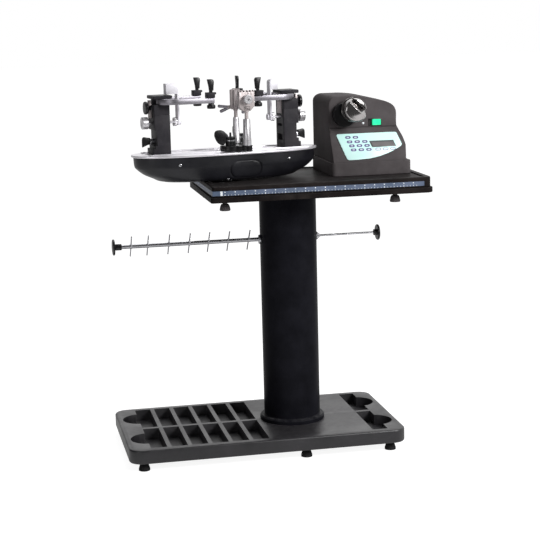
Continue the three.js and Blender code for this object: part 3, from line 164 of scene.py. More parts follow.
lit = level_to_back(-0.7, 0.6, 0.1, 0.66)
mirrored = level_to_back(0.15, 0.7, 0.08, 1.0)
shown = switched(ray_mask(room, "Is Glossy Ray", "Is Transmission Ray"), lit, mirrored)
shown = switched(ray_mask(room, "Is Camera Ray"), shown, 1.0)
background = add_node(room, "Background", {"Color": (1, 1, 1, 1), "Strength": shown})
add_node(room, "OutputWorld", {"Surface": background.outputs[0]})


def softbox(name, place, target, size, watts):
    """A large square lamp at a place, turned to its target, that no camera ray sees."""
    bpy.ops.object.light_add(type="AREA", location=place)
    lamp = bpy.context.object
    lamp.name = name
    lamp.data.shape = "SQUARE"
    lamp.data.size = size
    lamp.data.energy = watts
    lamp.visible_camera = False
    lamp.rotation_euler = (Vector(target) - Vector(place)).to_track_quat("-Z", "Y").to_euler()


softbox("front_right_softbox", (2.3, -3.0, 2.5), (0.1, 0, 0.6), 1.3, 155)
softbox("front_left_softbox", (-2.3, -2.6, 1.3), (0, 0, 0.7), 1.3, 12.5)
softbox("top_softbox", (0.5, 0.9, 3.3), (0, 0, 0.6), 2.2, 32)

# %% Lay the floor
FLOOR_SIZE, FLOOR_FRONT = 30, -2.5
GLOW_FOR_ALL, GLOW_FOR_CAMERA = 0.4, 0.5
bpy.ops.mesh.primitive_plane_add(size=FLOOR_SIZE, location=(0, FLOOR_FRONT + FLOOR_SIZE / 2, 0))
floor = bpy.context.object
floor.name = "floor"
paper = bpy.data.materials.new("white_floor")
paper.use_nodes = True
sheet = paper.node_tree
sheet.nodes.clear()
matt = add_node(sheet, "BsdfDiffuse", {"Color": (0.78, 0.78, 0.78, 1)})
soft_matt = add_node(sheet, "BsdfDiffuse", {"Color": (0.36, 0.36, 0.36, 1)})
strength = calculated(sheet, "MULTIPLY_ADD", ray_mask(sheet, "Is Camera Ray"), GLOW_FOR_CAMERA, GLOW_FOR_ALL)
glow = add_node(sheet, "Emission", {"Strength": strength})
lifted = add_node(sheet, "AddShader", {0: soft_matt.outputs[0], 1: glow.outputs[0]})
seen = ray_mask(sheet, "Is Camera Ray", "Is Glossy Ray", "Is Transmission Ray")
choice = add_node(sheet, "MixShader", {0: seen, 1: matt.outputs[0], 2: lifted.outputs[0]})
add_node(sheet, "OutputMaterial", {"Surface": choice.outputs[0]})
floor.data.materials.append(paper)
bpy.ops.object.select_all(action="DESELECT")
print("floor from y =", FLOOR_FRONT)

# %% [markdown]
# ## Surface effects that several finishes share
# Each real finish is one plain colour plus small irregular things: the grain of a mould, the lines of
# a brush, a little dust on what faces up, and rubbed patches. These are four shader groups. They put
# out only masks and heights, so that every material can use them at its own strength.

# %% Build the shader groups


def effect(name, sizes, outs):
    """An empty shader group with named sizes and outputs. Gives the group, its sizes and its coordinates."""
    group = bpy.data.node_groups.new(name, "ShaderNodeTree")
    for size, value in sizes.items():
        group.interface.new_socket(size, in_out="INPUT", socket_type="NodeSocketFloat").default_value = value
    for out in outs:
        group.interface.new_socket(out, in_out="OUTPUT", socket_type="NodeSocketFloat")
    return group, group.nodes.new("NodeGroupInput").outputs, add_node(group, "TexCoord").outputs


def put_out(group, **results):
    """Joins results to the outputs of a group."""
    end = group.nodes.new("NodeGroupOutput")
    for name, result in results.items():
        group.links.new(result, end.inputs[name])


def noise(group, vector, scale, detail, rough):
    """A noise of a scale that is a number or another socket."""
    inputs = {"Vector": vector, "Scale": scale, "Detail": detail, "Roughness": rough}
    return add_node(group, "TexNoise", inputs).outputs["Fac"]


mould_grain, sizes, coords = effect("mould_grain", {"Size": 700.0}, ("Height", "Tone"))
grain_height = noise(mould_grain, coords["Object"], sizes["Size"], 3.0, 0.6)
cloud = noise(mould_grain, coords["Object"], 14.0, 4.0, 0.6)
put_out(mould_grain, Height=grain_height, Tone=value_range(mould_grain, cloud, 0.35, 0.65))

LINE_SIZES = {"Along X": 6.0, "Along Y": 900.0, "Along Z": 900.0}
brush_lines, sizes, coords = effect("brush_lines", LINE_SIZES, ("Height", "Tone"))
stretch = add_node(brush_lines, "CombineXYZ", {axis: sizes[f"Along {axis}"] for axis in "XYZ"})
factors = {0: coords["Object"], 1: stretch.outputs[0]}
stretched = add_node(brush_lines, "VectorMath", factors, operation="MULTIPLY")
line_height = noise(brush_lines, stretched.outputs[0], 1.0, 2.0, 0.7)
put_out(brush_lines, Height=line_height, Tone=value_range(brush_lines, line_height, 0.3, 0.7))

rubbed_patches, sizes, coords = effect("rubbed_patches", {"Size": 9.0}, ("Mask",))
patch = noise(rubbed_patches, coords["Object"], sizes["Size"], 6.0, 0.72)
put_out(rubbed_patches, Mask=value_range(rubbed_patches, patch, 0.56, 0.78))

settled_dust, sizes, coords = effect("settled_dust", {"Size": 60.0}, ("Mask",))
facing = add_node(settled_dust, "SeparateXYZ", {0: coords["Normal"]})
upward = value_range(settled_dust, facing.outputs["Z"], 0.55, 1.0)
specks = noise(settled_dust, coords["Object"], sizes["Size"], 5.0, 0.7)
specks = value_range(settled_dust, specks, 0.35, 0.75)
put_out(settled_dust, Mask=calculated(settled_dust, "MULTIPLY", upward, specks))
print("shader groups:", [g.name for g in bpy.data.node_groups])

# %% [markdown]
# ## Finishes
# A finish is made from two close colours mixed by the grain's slow tone, a rubbed colour on the
# patches that hands touch, a little dust, a roughness that varies with the same masks, and a bump from
# the grain or the brush lines. Brushed metals get the brush lines, and all others get the grain.

# %% Mix the finishes
DUST_COLOUR = (150, 148, 150)
RUBBED_ROUGHNESS = 0.12
FINISHES = {}


def linear(colour):
    """A colour from 0 to 255, as seen on a screen, as the linear value that a shader wants."""
    parts = [c / 255 for c in colour]
    return tuple(c / 12.92 if c <= 0.04045 else ((c + 0.055) / 1.055) ** 2.4 for c in parts) + (1.0,)


def use(tree, group, **sizes):
    """Places a shader group in a material with its own sizes, and gives its outputs."""
    inputs = {name.replace("_", " "): value for name, value in sizes.items()}
    return add_node(tree, "Group", inputs, node_tree=group).outputs


def blend_colour(tree, mask, first, second, share=1.0):
    """Mixes two colours, or what comes so far and a colour, by a mask times a share."""
    first, second = (linear(colour) if isinstance(colour, tuple) else colour for colour in (first, second))
    inputs = {"Factor": calculated(tree, "MULTIPLY", mask, share), 6: first, 7: second}
    return add_node(tree, "Mix", inputs, data_type="RGBA").outputs[2]


def finish(name, dark, light, rub, rub_share, rough, metal=0.0, grain=700.0, lines=None, depth=4e-5,
           dust=0.25, spread=0.08, gloss=0.5, coat=0.0, glow=0.0):
    """A material of two close colours, with grain or brush lines, rubbed patches and dust."""
    material = bpy.data.materials.new(name)
    material.use_nodes = True
    tree = material.node_tree
    shader = tree.nodes["Principled BSDF"]
    shader.inputs["Metallic"].default_value = metal
    shader.inputs["Specular IOR Level"].default_value = gloss
    shader.inputs["Coat Weight"].default_value = coat
    shader.inputs["Coat Roughness"].default_value = 0.12
    if lines:
        texture = use(tree, brush_lines, Along_X=lines[0], Along_Y=lines[1], Along_Z=lines[2])
    else:
        texture = use(tree, mould_grain, Size=grain)
    worn = use(tree, rubbed_patches)["Mask"]
    colour = blend_colour(tree, texture["Tone"], dark, light)
    colour = blend_colour(tree, worn, colour, rub, rub_share)
    if dust:
        colour = blend_colour(tree, use(tree, settled_dust)["Mask"], colour, DUST_COLOUR, dust)
    tree.links.new(colour, shader.inputs["Base Color"])
    if glow:
        tree.links.new(colour, shader.inputs["Emission Color"])
        shader.inputs["Emission Strength"].default_value = glow
    varied = calculated(tree, "MULTIPLY_ADD", texture["Tone"], spread, rough - spread / 2)
    rougher = calculated(tree, "MULTIPLY_ADD", worn, RUBBED_ROUGHNESS, varied)
    tree.links.new(rougher, shader.inputs["Roughness"])
    bump = add_node(tree, "Bump", {"Distance": depth, "Height": texture["Height"]})
    tree.links.new(bump.outputs["Normal"], shader.inputs["Normal"])
    FINISHES[name] = material


finish("moulded_plastic", (22, 21, 24), (34, 32, 36), (66, 61, 66), 0.35, 0.40, grain=900, depth=6e-5,
       dust=0.12, gloss=0.65)
finish("console_plastic", (24, 21, 21), (37, 33, 32), (64, 58, 56), 0.35, 0.42, grain=900, depth=6e-5,
       dust=0.1, gloss=0.02)
finish("hull_plastic", (20, 20, 24), (28, 28, 33), (44, 42, 46), 0.3, 0.34, grain=1100, depth=3e-5,
       dust=0.06, gloss=0.45)
finish("powder_coat", (18, 18, 22), (26, 26, 31), (34, 34, 40), 0.25, 0.32, grain=520, dust=0.2, gloss=0.02)
finish("rubber", (17, 17, 18), (26, 26, 27), (50, 49, 48), 0.5, 0.82, grain=1100, depth=1e-4, gloss=0.3)
finish("black_plastic", (13, 12, 14), (20, 19, 22), (42, 40, 43), 0.3, 0.30, grain=800, depth=2e-5,
       dust=0.08, gloss=0.45)
finish("charcoal_plastic", (74, 70, 71), (86, 82, 83), (104, 98, 100), 0.25, 0.48, grain=1200, depth=7e-5,
       dust=0.10, gloss=0.005)
finish("stainless_steel", (178, 178, 182), (210, 210, 214), (150, 150, 156), 0.25, 0.24, 1.0,
       lines=(30, 900, 900), depth=2e-5, dust=0.05, spread=0.14)
finish("chrome", (164, 161, 161), (184, 181, 180), (146, 142, 142), 0.25, 0.14, 1.0, grain=300,
       depth=1e-6, dust=0.02, spread=0.05)
finish("satin_steel", (204, 202, 205), (224, 222, 225), (180, 178, 181), 0.3, 0.3, 0.75,
       lines=(60, 60, 700), depth=3e-6, dust=0.03, spread=0.06)
finish("satin_aluminium", (146, 143, 150), (168, 165, 172), (140, 137, 143), 0.25, 0.4, 1.0,
       lines=(8, 1000, 1000), depth=3e-5, dust=0.03)
finish("brushed_aluminium", (226, 223, 229), (242, 240, 244), (196, 193, 197), 0.2, 0.33, 0.6,
       lines=(8, 1000, 1000), depth=3e-5, dust=0.03, spread=0.10)
finish("cast_aluminium", (172, 163, 163), (192, 183, 182), (152, 142, 141), 0.3, 0.46, 0.55, grain=520,
       depth=1e-4, dust=0.04, spread=0.12)
finish("blasted_aluminium", (222, 220, 226), (236, 234, 240), (170, 167, 174), 0.4, 0.5, 0.2, grain=1500,
       depth=6e-5, dust=0.03)
finish("dark_paint", (42, 41, 45), (56, 54, 57), (96, 93, 96), 0.3, 0.40, grain=900, depth=8e-5,
       dust=0.10, gloss=0.08)
finish("strip_film", (72, 86, 108), (94, 106, 130), (126, 136, 154), 0.4, 0.42, grain=300, depth=1e-5,
       dust=0.05)
finish("panel_film", (206, 250, 244), (218, 254, 250), (232, 254, 252), 0.3, 0.36, grain=1400, depth=2e-5,
       dust=0.02)
finish("green_lens", (20, 214, 146), (54, 244, 172), (96, 250, 194), 0.5, 0.2, grain=240, depth=2e-5,
       dust=0.0, coat=0.5, glow=0.45)
finish("white_print", (214, 220, 226), (240, 244, 246), (180, 190, 200), 0.6, 0.5, grain=1500, depth=1e-5,
       dust=0.05)
finish("navy_print", (58, 58, 116), (78, 78, 134), (120, 124, 160), 0.4, 0.4, grain=1400, depth=1e-5,
       dust=0.0)
finish("display_glass", (102, 98, 100), (120, 116, 116), (124, 134, 130), 0.4, 0.2, grain=260, depth=5e-6,
       dust=0.0, coat=0.5)
finish("display_frame", (66, 70, 72), (82, 86, 86), (100, 104, 104), 0.3, 0.35, grain=900, depth=1e-5,
       dust=0.0)
finish("key_print", (206, 222, 236), (232, 242, 250), (190, 206, 220), 0.4, 0.4, grain=1400, depth=1e-5,
       dust=0.0)
print("finishes:", sorted(FINISHES))

# %% [markdown]
# ## Workshop helpers
# Sizes are given in millimetres, as on a drawing, and turned into metres once. Everything is modelled
# with the operators that a hand would use: a primitive is added, shaped in edit mode, and rounded with
# a bevel. An operator acts on all that is selected, so each helper selects its own piece first. Round
# pieces start as a disc that is extruded and resized at each step, as a lathe tool would leave it.

# %% Helpers for placing, selecting and rounding
MM = 0.001
TOWARDS_RIGHT = Matrix.Rotation(math.radians(90), 4, "Y")
TOWARDS_LEFT = Matrix.Rotation(math.radians(-90), 4, "Y")
TOWARDS_FRONT = Matrix.Rotation(math.radians(90), 4, "X")
TOWARDS_BACK = Matrix.Rotation(math.radians(-90), 4, "X")


def at(x, y, z):
    """A place in millimetres."""
    return Matrix.Translation((x * MM, y * MM, z * MM))


def turn(degrees, axis="Z"):
    """A turn about an axis."""
    return Matrix.Rotation(math.radians(degrees), 4, axis)


def arc(x, y, radius, first, last, steps):
    """Points of an arc round x, y from one angle to another, in degrees."""
    angles = [math.radians(first + (last - first) * step / steps) for step in range(steps + 1)]
    return [(x + radius * math.cos(angle), y + radius * math.sin(angle)) for angle in angles]


def alone(piece):
    """Selects one piece and nothing else."""
    bpy.ops.object.select_all(action="DESELECT")
    piece.hide_set(False)
    piece.select_set(True)
    bpy.context.view_layer.objects.active = piece
    return piece


def newest(name):
    """Names the piece that was just added."""
    piece = bpy.context.object
    piece.name = piece.data.name = name
    return piece


def opened(piece):
    """Opens a piece in edit mode with all of it selected."""
    alone(piece)
    bpy.ops.object.mode_set(mode="EDIT")
    bpy.ops.mesh.select_all(action="SELECT")


def closed_solid():
    """Turns all faces of the open piece outwards and leaves edit mode."""
    bpy.ops.mesh.select_all(action="SELECT")
    bpy.ops.mesh.normals_make_consistent(inside=False)
    bpy.ops.object.mode_set(mode="OBJECT")


def pick(piece, kind, test):
    """Opens a piece in edit mode with only the faces or edges that pass a test selected, and counts them."""
    alone(piece)
    bpy.ops.object.mode_set(mode="EDIT")
    bpy.ops.mesh.select_mode(type="FACE" if kind == "faces" else "EDGE")
    bpy.ops.mesh.select_all(action="DESELECT")
    mesh = bmesh.from_edit_mesh(piece.data)
    chosen = [part for part in getattr(mesh, kind) if test(part)]
    for part in chosen:
        part.select_set(True)
    bmesh.update_edit_mesh(piece.data)
    return len(chosen)


def upright(edge):
    """Tells whether an edge stands upright and is longer than a centimetre."""
    first, second = (vertex.co for vertex in edge.verts)
    return abs(first.z - second.z) > 0.01 and (first - second).xy.length < 1e-6


def bevelled(piece, test, width, steps):
    """Bevels the edges of a piece that pass a test."""
    if pick(piece, "edges", test):
        bpy.ops.mesh.bevel(offset=width * MM, segments=steps)
    bpy.ops.object.mode_set(mode="OBJECT")
    return piece


def settle(piece, place=Matrix()):
    """Puts a piece's place into its mesh, and leaves its object at the origin, unturned and unscaled."""
    alone(piece)
    piece.matrix_world = place @ piece.matrix_world
    bpy.ops.object.transform_apply(location=True, rotation=True, scale=True)
    return piece


def rounded(piece, width, steps=2, angle=30):
    """Rounds all edges sharper than an angle with a bevel modifier, and applies it."""
    alone(piece)
    bevel = piece.modifiers.new("edges", "BEVEL")
    bevel.width, bevel.segments = width * MM, steps
    bevel.limit_method, bevel.angle_limit = "ANGLE", math.radians(angle)
    bpy.ops.object.modifier_apply(modifier="edges")
    return piece


def smooth(piece, angle=35):
    """Shades a piece smooth, but leaves its sharp edges sharp."""
    alone(piece)
    bpy.ops.object.shade_smooth_by_angle(angle=math.radians(angle))
    return piece


print("helpers for placing, selecting and rounding ready")

# %% Helpers for making pieces


def lofted(levels):
    """Extrudes what is selected through levels of height, length and width, and resizes it at each."""
    height, length, width = levels[0]
    for high, long, wide in levels[1:]:
        bpy.ops.mesh.extrude_region_move(TRANSFORM_OT_translate={"value": (0, 0, (high - height) * MM)})
        bpy.ops.transform.resize(value=(long / length, wide / width, 1), center_override=(0, 0, high * MM))
        height, length, width = high, long, wide


def block(name, low, high, edge=0.0, steps=2):
    """A box between two corners, with rounded edges."""
    size = [(b - a) * MM for a, b in zip(low, high)]
    centre = [(a + b) / 2 * MM for a, b in zip(low, high)]
    bpy.ops.mesh.primitive_cube_add(size=1, location=centre, scale=size)
    piece = settle(newest(name))
    return rounded(piece, edge, steps) if edge else piece


def turned(name, profile, sides=64, place=Matrix()):
    """A turned piece about z from pairs of radius and height: a disc, extruded and resized at each step."""
    radius, height = profile[0]
    bpy.ops.mesh.primitive_circle_add(vertices=sides, radius=radius * MM, fill_type="NGON",
                                      location=(0, 0, height * MM))
    piece = settle(newest(name))
    opened(piece)
    lofted([(high, wide, wide) for wide, high in profile])
    closed_solid()
    return smooth(settle(piece, place))


def cylinder(radius, low, high, sides, place=Matrix()):
    """A plain round bar between two heights, to be joined to a piece or cut out of one."""
    return turned("cylinder", [(radius, low), (radius, high)], sides, place)


def cut_out(name, points, thick, place=Matrix(), edge=0.0, steps=2):
    """A flat outline, extruded upwards and rounded: a disc whose corners move to the outline's points."""
    bpy.ops.mesh.primitive_circle_add(vertices=len(points), radius=MM, fill_type="NGON")
    piece = newest(name)
    for vertex, (x, y) in zip(piece.data.vertices, points):
        vertex.co = (x * MM, y * MM, 0)
    opened(piece)
    bpy.ops.mesh.extrude_region_move(TRANSFORM_OT_translate={"value": (0, 0, thick * MM)})
    closed_solid()
    if edge:
        rounded(piece, edge, steps)
    return smooth(settle(piece, place))


def fused(name, *parts):
    """Joins parts into one piece."""
    alone(parts[0])
    for part in parts[1:]:
        part.select_set(True)
    bpy.ops.object.join()
    return newest(name)


def assembled(name, *parts, place=Matrix()):
    """Joins parts into one piece, puts it in its place and shades it."""
    return smooth(settle(fused(name, *parts), place))


def combined(piece, other, operation, crossing=False):
    """Combines a piece with another by a boolean modifier, and removes the other."""
    alone(piece)
    modifier = piece.modifiers.new("combined", "BOOLEAN")
    modifier.operation, modifier.object, modifier.solver = operation, other, "EXACT"
    modifier.use_self = crossing
    bpy.ops.object.modifier_apply(modifier="combined")
    bpy.data.objects.remove(other)
    return piece


def carved(piece, *cutters):
    """Cuts the cutters, which may cross each other or themselves, out of a piece."""
    for cutter in cutters:
        combined(piece, cutter, "DIFFERENCE", True)
    return piece


def copied(piece, name, place=Matrix()):
    """A copy of a piece with its own mesh, put elsewhere."""
    alone(piece)
    bpy.ops.object.duplicate()
    copy = newest(name)
    for key in list(copy.keys()):
        del copy[key]
    copy.parent = None
    return settle(copy, place)


print("helpers for making pieces ready")


def coated(piece, finish_name):
    """Gives a piece one finish."""
    piece.data.materials.clear()
    piece.data.materials.append(FINISHES[finish_name])
    for face in piece.data.polygons:
        face.material_index = 0


def detail(piece, body, finish_name):
    """Adds a piece to a body, with a finish."""
    coated(piece, finish_name)
    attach(piece, body)
    return piece


def stands_for(piece, node, finish_name):
    """Lets a piece take the place of a CAD solid and ride its body."""
    detail(piece, frame["nodes"][node]["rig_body"], finish_name)
    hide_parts(node)
    return piece


def softened(name, node, edge, finish_name, steps=2):
    """Replaces a CAD solid by a copy with its triangles merged into faces and its edges rounded."""
    piece = copied(frame["nodes"][node], name)
    opened(piece)
    bpy.ops.mesh.remove_doubles(threshold=0.00002)
    bpy.ops.mesh.dissolve_limited(angle_limit=math.radians(1))
    bpy.ops.object.mode_set(mode="OBJECT")
    return stands_for(smooth(rounded(piece, edge, steps, 50)), node, finish_name)


def set_out(piece, name, places, body, finish_name):
    """Puts numbered copies of a small piece in their places on a body."""
    for number, place in enumerate(places, 1):
        detail(copied(piece, f"{name}_{number}", place), body, finish_name)


# %% [markdown]
# ## The frame's own solids
# Every solid starts in one plain finish. All but the drive inside the head are replaced below by
# rounder pieces. The head hides the drive, so its solid is enough.

# %% Give the CAD solids a finish
for node in frame["nodes"].values():
    coated(node, "cast_aluminium")
print("solids with a finish:", len(frame["nodes"]))

# %% [markdown]
# ## Base board
# The stand's foot is one thick moulding with two rows of slots, and the end slots widen into half-round
# lobes. It could be drawn as one outline with holes, but a block that is bevelled and then carved leaves
# the same floor in each slot, as the mould does.

# %% Model the base board
BASE_LOW, BASE_HIGH = (-441.6, -221, 26), (356.4, 221, 66)
SLOT_FLOOR, SLOT_TOP, SLOT_WIDTH, SLOT_PITCH = 34, 80, 46, 58.3
LOBE_RADIUS, LOBE_DISTANCE = 52, 103
LOBES = ((-1, -374.6, -380.3), (1, 289.4, 303.1))
first_slot = BASE_LOW[0] + 61
base = block("base_board", BASE_LOW, BASE_HIGH)
bevelled(base, upright, 38, 12)
rounded(base, 5, 3)


def lobe(side, centre, edge, y):
    """The part of a round well that lies outside the edge of an end slot."""
    spread = math.degrees(math.acos(side * (edge - centre) / LOBE_RADIUS))
    middle = 0 if side > 0 else 180
    outline = arc(centre, y, LOBE_RADIUS, middle - spread, middle + spread, 40)
    return cut_out("well", outline, SLOT_TOP - SLOT_FLOOR, at(0, 0, SLOT_FLOOR))


wells = []
for row in (-1, 1):
    near, far = sorted((row * 7, row * 199))
    starts = [(first_slot + SLOT_PITCH * number, SLOT_WIDTH) for number in range(6)] + [(259.4, 44)]
    for x, wide in starts:
        wells.append(block("well", (x, near, SLOT_FLOOR), (x + wide, far, SLOT_TOP)))
    wells += [lobe(side, centre, edge, row * LOBE_DISTANCE) for side, centre, edge in LOBES]
carved(base, fused("wells", *wells))
rounded(base, 1.6, 3, 50)
stands_for(smooth(base, 40), "base_tray", "moulded_plastic")
print("base board:", len(base.data.polygons), "faces")

# %% [markdown]
# ## Feet
# Six rubber feet carry the base board. Each is a stepped cone with a ring of tread below. One foot is
# turned and copied, because they all come from one mould.

# %% Model the feet
COLUMN_X = 66.4
FOOT = [(13.5, 1.2), (13.5, 0), (16, 0), (16, 6), (15.4, 7), (12.2, 18), (11.4, 19), (8, 19), (8, 25.7)]
foot = turned("foot", FOOT, 40)
for number, (x, y) in enumerate([(x, y) for y in (-185, 185) for x in (-399.6, COLUMN_X, 314.4)], 1):
    stands_for(copied(foot, f"foot_{number}", at(x, y, 0)), f"base_foot_{number}", "rubber")
bpy.data.objects.remove(foot)
print("feet:", number)

# %% [markdown]
# ## Column
# One welded tube carries the console. It has a chamfered collar below with a thin weld bead, and a
# square plate on top that is bolted to the console tray from below.

# %% Model the column
TUBE = [(95, 66.3), (95, 75.3), (91, 79.3), (84.4, 79.3), (83.6, 80.6), (82.5, 81.2), (82.5, 733.6),
        (81.9, 734.3)]
tube = turned("tube", TUBE, 128, at(COLUMN_X, 0, 0))
plate = block("plate", (COLUMN_X - 100, -100, 734.3), (COLUMN_X + 100, 100, 742.3), 1.2)
bolts = []
for place in [at(COLUMN_X + x, y, 0) for x in (-84, 84) for y in (-84, 84)]:
    bolts.append(turned("bolt", [(6.5, 734.5), (6.5, 729.5), (5.6, 728.6)], 6, place))
    bolts.append(cylinder(9, 734.4, 732.9, 32, place))
column = stands_for(assembled("column", tube, plate), "column_tube", "powder_coat")
detail(assembled("column_bolts", *bolts), "stand", "stainless_steel")
print("column size:", [round(side, 4) for side in column.dimensions])

# %% [markdown]
# ## Rods at the column
# On the left a stout rod with leaning pins divides the room along it, and on the right a thin rod carries
# reels of string. Both are bar stock, turned at the flange, with domed plastic knobs on the ends. Each
# pin sits in a small collar, as a pin pressed through a rod does.

# %% Model the divider rod
DIVIDER_ROD, REEL_ROD = (COLUMN_X, 0, 604.5), (COLUMN_X, 0, 606)
PIN_SHARES = (0.084, 0.226, 0.364, 0.498, 0.64, 0.785, 0.9)
DIVIDER = [(6, 72.6), (6, 82.8), (13, 82.8), (13.5, 83.3), (13.5, 87.2), (12.8, 87.8), (8, 88.6), (6, 89.4),
           (6, 499.7), (5.2, 500.4)]
PIN = [(0.9, -43.5), (1.9, -42.6), (1.9, 42.6), (0.9, 43.5)]
COLLAR = [(6.3, -2.6), (6.9, -2.2), (6.9, 2.2), (6.3, 2.6)]
divider = turned("rod", DIVIDER, 48, at(*DIVIDER_ROD) @ TOWARDS_LEFT)
pins = []
for share in PIN_SHARES:
    place = at(*DIVIDER_ROD) @ at(-82.5 - share * 418, 0, 0)
    pins.append(turned("pin", PIN, 16, place @ turn(41, "X")))
    pins.append(turned("collar", COLLAR, 32, place @ TOWARDS_RIGHT))
stands_for(assembled("divider_rod_bar", divider, *pins), "divider_rod", "stainless_steel")
print("pins and collars:", len(pins))

# %% Model the reel rod and the end knobs
KNOB_CAP = [(21.6, 0), (23, 1.4), (23, 4.8), (22.2, 5.8), (18, 6.8), (11.5, 7.5), (4, 7.8)]


def end_knob(name, neck, place):
    """A knob from the profile of its neck, with a domed cap where the neck ends."""
    cap = [(radius, neck[-1][1] + height) for radius, height in KNOB_CAP]
    return turned(name, neck + cap, 72, place)


knob = end_knob("divider_rod_knob", [(8.6, 0.6), (9.2, 1.2), (9.2, 17), (8.2, 19.2), (9.4, 20.2)],
                at(-418.4, 0, DIVIDER_ROD[2]) @ TOWARDS_LEFT)
stands_for(knob, "divider_knob", "black_plastic")
knob = end_knob("reel_rod_knob", [(8.6, 0.4), (9, 0.8), (9, 8), (9.6, 9.2)],
                at(323.2, 0, REEL_ROD[2]) @ TOWARDS_RIGHT)
stands_for(knob, "reel_knob", "black_plastic")
REEL = [(3, 72.6), (3, 82.8), (12, 82.8), (12, 85.6), (11.4, 86.2), (5.4, 93.6), (4.5, 94.8), (3, 95.2),
        (3, 266.2), (2.6, 266.5)]
reel = turned("reel_rod_bar", REEL, 40, at(*REEL_ROD) @ TOWARDS_RIGHT)
stands_for(reel, "reel_rod", "stainless_steel")

# %% [markdown]
# ## Console tray
# A tabletop tray with a proud lower lip and four mushroom feet, bolted to the column's plate. The front
# left corner is nearly square, and the others are well rounded, so the upright edges of the starting
# block get bevels of two widths. A shallow recess carved into the top leaves a rim all round.

# %% Model the console tray


def stands_at(*corners):
    """A test for the upright edges that stand at one of these corners."""
    return lambda edge: upright(edge) and any(
        (edge.verts[0].co.xy / MM - Vector(corner)).length < 0.01 for corner in corners)


def tray_block(name, grow, low, high, sharp, soft):
    """A slab of the tray's outline, grown all round, between two heights, with its upright edges rounded."""
    left, front, right, back = -184.6 - grow, -200 - grow, 441.4 + grow, 200 + grow
    piece = block(name, (left, front, low), (right, back, high))
    bevelled(piece, stands_at((left, front)), sharp, 8)
    return bevelled(piece, stands_at((left, back), (right, front), (right, back)), soft, 12)


tray = tray_block("console_board", 0, 756.6, 786.6, 8, 24)
lip = tray_block("lip", 5, 742.6, 757.6, 8, 24)
rounded(tray, 4, 4, 50)
rounded(lip, 2.0, 3, 50)
carved(tray, tray_block("recess", -18, 783.6, 790, 4, 10))
groove_front = block("groove", (-190, -201, 761.8), (417.7, -198.2, 775.4))
groove_left = block("groove", (-186, -201, 761.8), (-182.8, 176.3, 775.4))
carved(tray, fused("grooves", groove_front, groove_left))
board = stands_for(assembled("console_board", tray, lip), "console_tray", "console_plastic")
TRAY_FOOT = [(13.8, 714.6), (15, 716), (15, 719), (13.4, 726), (11.4, 731.4), (9.6, 733), (6.8, 733.8),
             (6.8, 744)]
tray_feet = [turned("tray_foot", TRAY_FOOT, 40, at(x, y, 0)) for x in (-142.6, 346.4) for y in (-150, 150)]
detail(assembled("console_feet", *tray_feet), "stand", "charcoal_plastic")
print("console tray:", len(board.data.polygons), "faces")

# %% [markdown]
# ## Printed edge strip
# A blue film with a white scale runs in a groove round the front and the left side of the tray. The
# print is modelled as a thin layer of its own, so that it stays sharp: a row of dots above, three ticks
# to each dot below, a broader tick under every second dot, and one bar where the scale starts.

# %% Model the strip and its scale
front_film = block("film", (-184.6, -200, 762.1), (417.4, -198.5, 775.1), 0.2, 1)
left_film = block("film", (-184.6, -199.9, 762.1), (-183.1, 176, 775.1), 0.2, 1)
stands_for(fused("edge_strip", front_film, left_film), "ruler_strip", "strip_film")
FIRST_MARK, TICK_PITCH, TICKS_PER_DOT = -150, 9.4, 3


def tick(half_width, top, place):
    """One thin upright bar of print, from the lower edge of the scale."""
    return settle(block("tick", (-half_width, -6, 0), (half_width, top, 0.1)), place)


def scale_marks(first, count, place_of):
    """A row of dots and ticks along an edge, from the place of each mark."""
    row = []
    for number in range(count):
        place = place_of(first + TICK_PITCH * number)
        on_dot = number % TICKS_PER_DOT == 0
        half_width = 1.1 if number % (2 * TICKS_PER_DOT) == 0 else 0.55
        row.append(tick(half_width, -2.6 if on_dot else -3.4, place))
        if on_dot:
            row.append(turned("dot", [(1.7, 0), (1.6, 0.12)], 10, place @ at(0, 3.4, 0)))
    return row


def on_front(x):
    """A place on the front of the strip, turned outwards."""
    return at(x, -199.95, 768.6) @ TOWARDS_FRONT


marks = scale_marks(FIRST_MARK, 59, on_front)
marks += scale_marks(-180, 36, lambda y: at(-184.55, -y, 768.6) @ turn(-90) @ TOWARDS_FRONT)
marks.append(tick(3.2, 6, on_front(FIRST_MARK - TICK_PITCH)))
detail(fused("strip_scale", *marks), "stand", "white_print")
print("scale marks:", len(marks))

# %% [markdown]
# ## Turntable
# The turntable is long and boat-shaped: a dark hull below and a brushed aluminium plate on top. The
# outline lies between an ellipse and a rectangle. A disc whose corners are moved to that outline is
# extruded upwards and resized level by level, which gives the soft turn of the hull.

# %% Set out the turntable and a smooth line through points
PILLAR = at(-111.6, 0, 0)
TABLE = PILLAR @ turn(8)
BOAT_POWER = 2.4


def flowing(points, steps):
    """A smooth line through points, with a number of steps between each pair."""
    last = len(points) - 1
    line = []
    for here in range(last):
        near = [points[min(max(here + move, 0), last)] for move in (-1, 0, 1, 2)]
        before, start, stop, after = (Vector(point) for point in near)
        for step in range(steps):
            t = step / steps
            line.append(tuple(0.5 * (2 * start + (stop - before) * t
                                     + (2 * before - 5 * start + 4 * stop - after) * t * t
                                     + (3 * start - before - 3 * stop + after) * t ** 3)))
    return line + [tuple(points[-1])]


def boat(half_length, half_width, count=144):
    """Points of the boat outline."""
    def eased(part):
        return math.copysign(abs(part) ** (2 / BOAT_POWER), part)

    turns = [2 * math.pi * step / count for step in range(count)]
    return [(half_length * eased(math.cos(t)), half_width * eased(math.sin(t))) for t in turns]


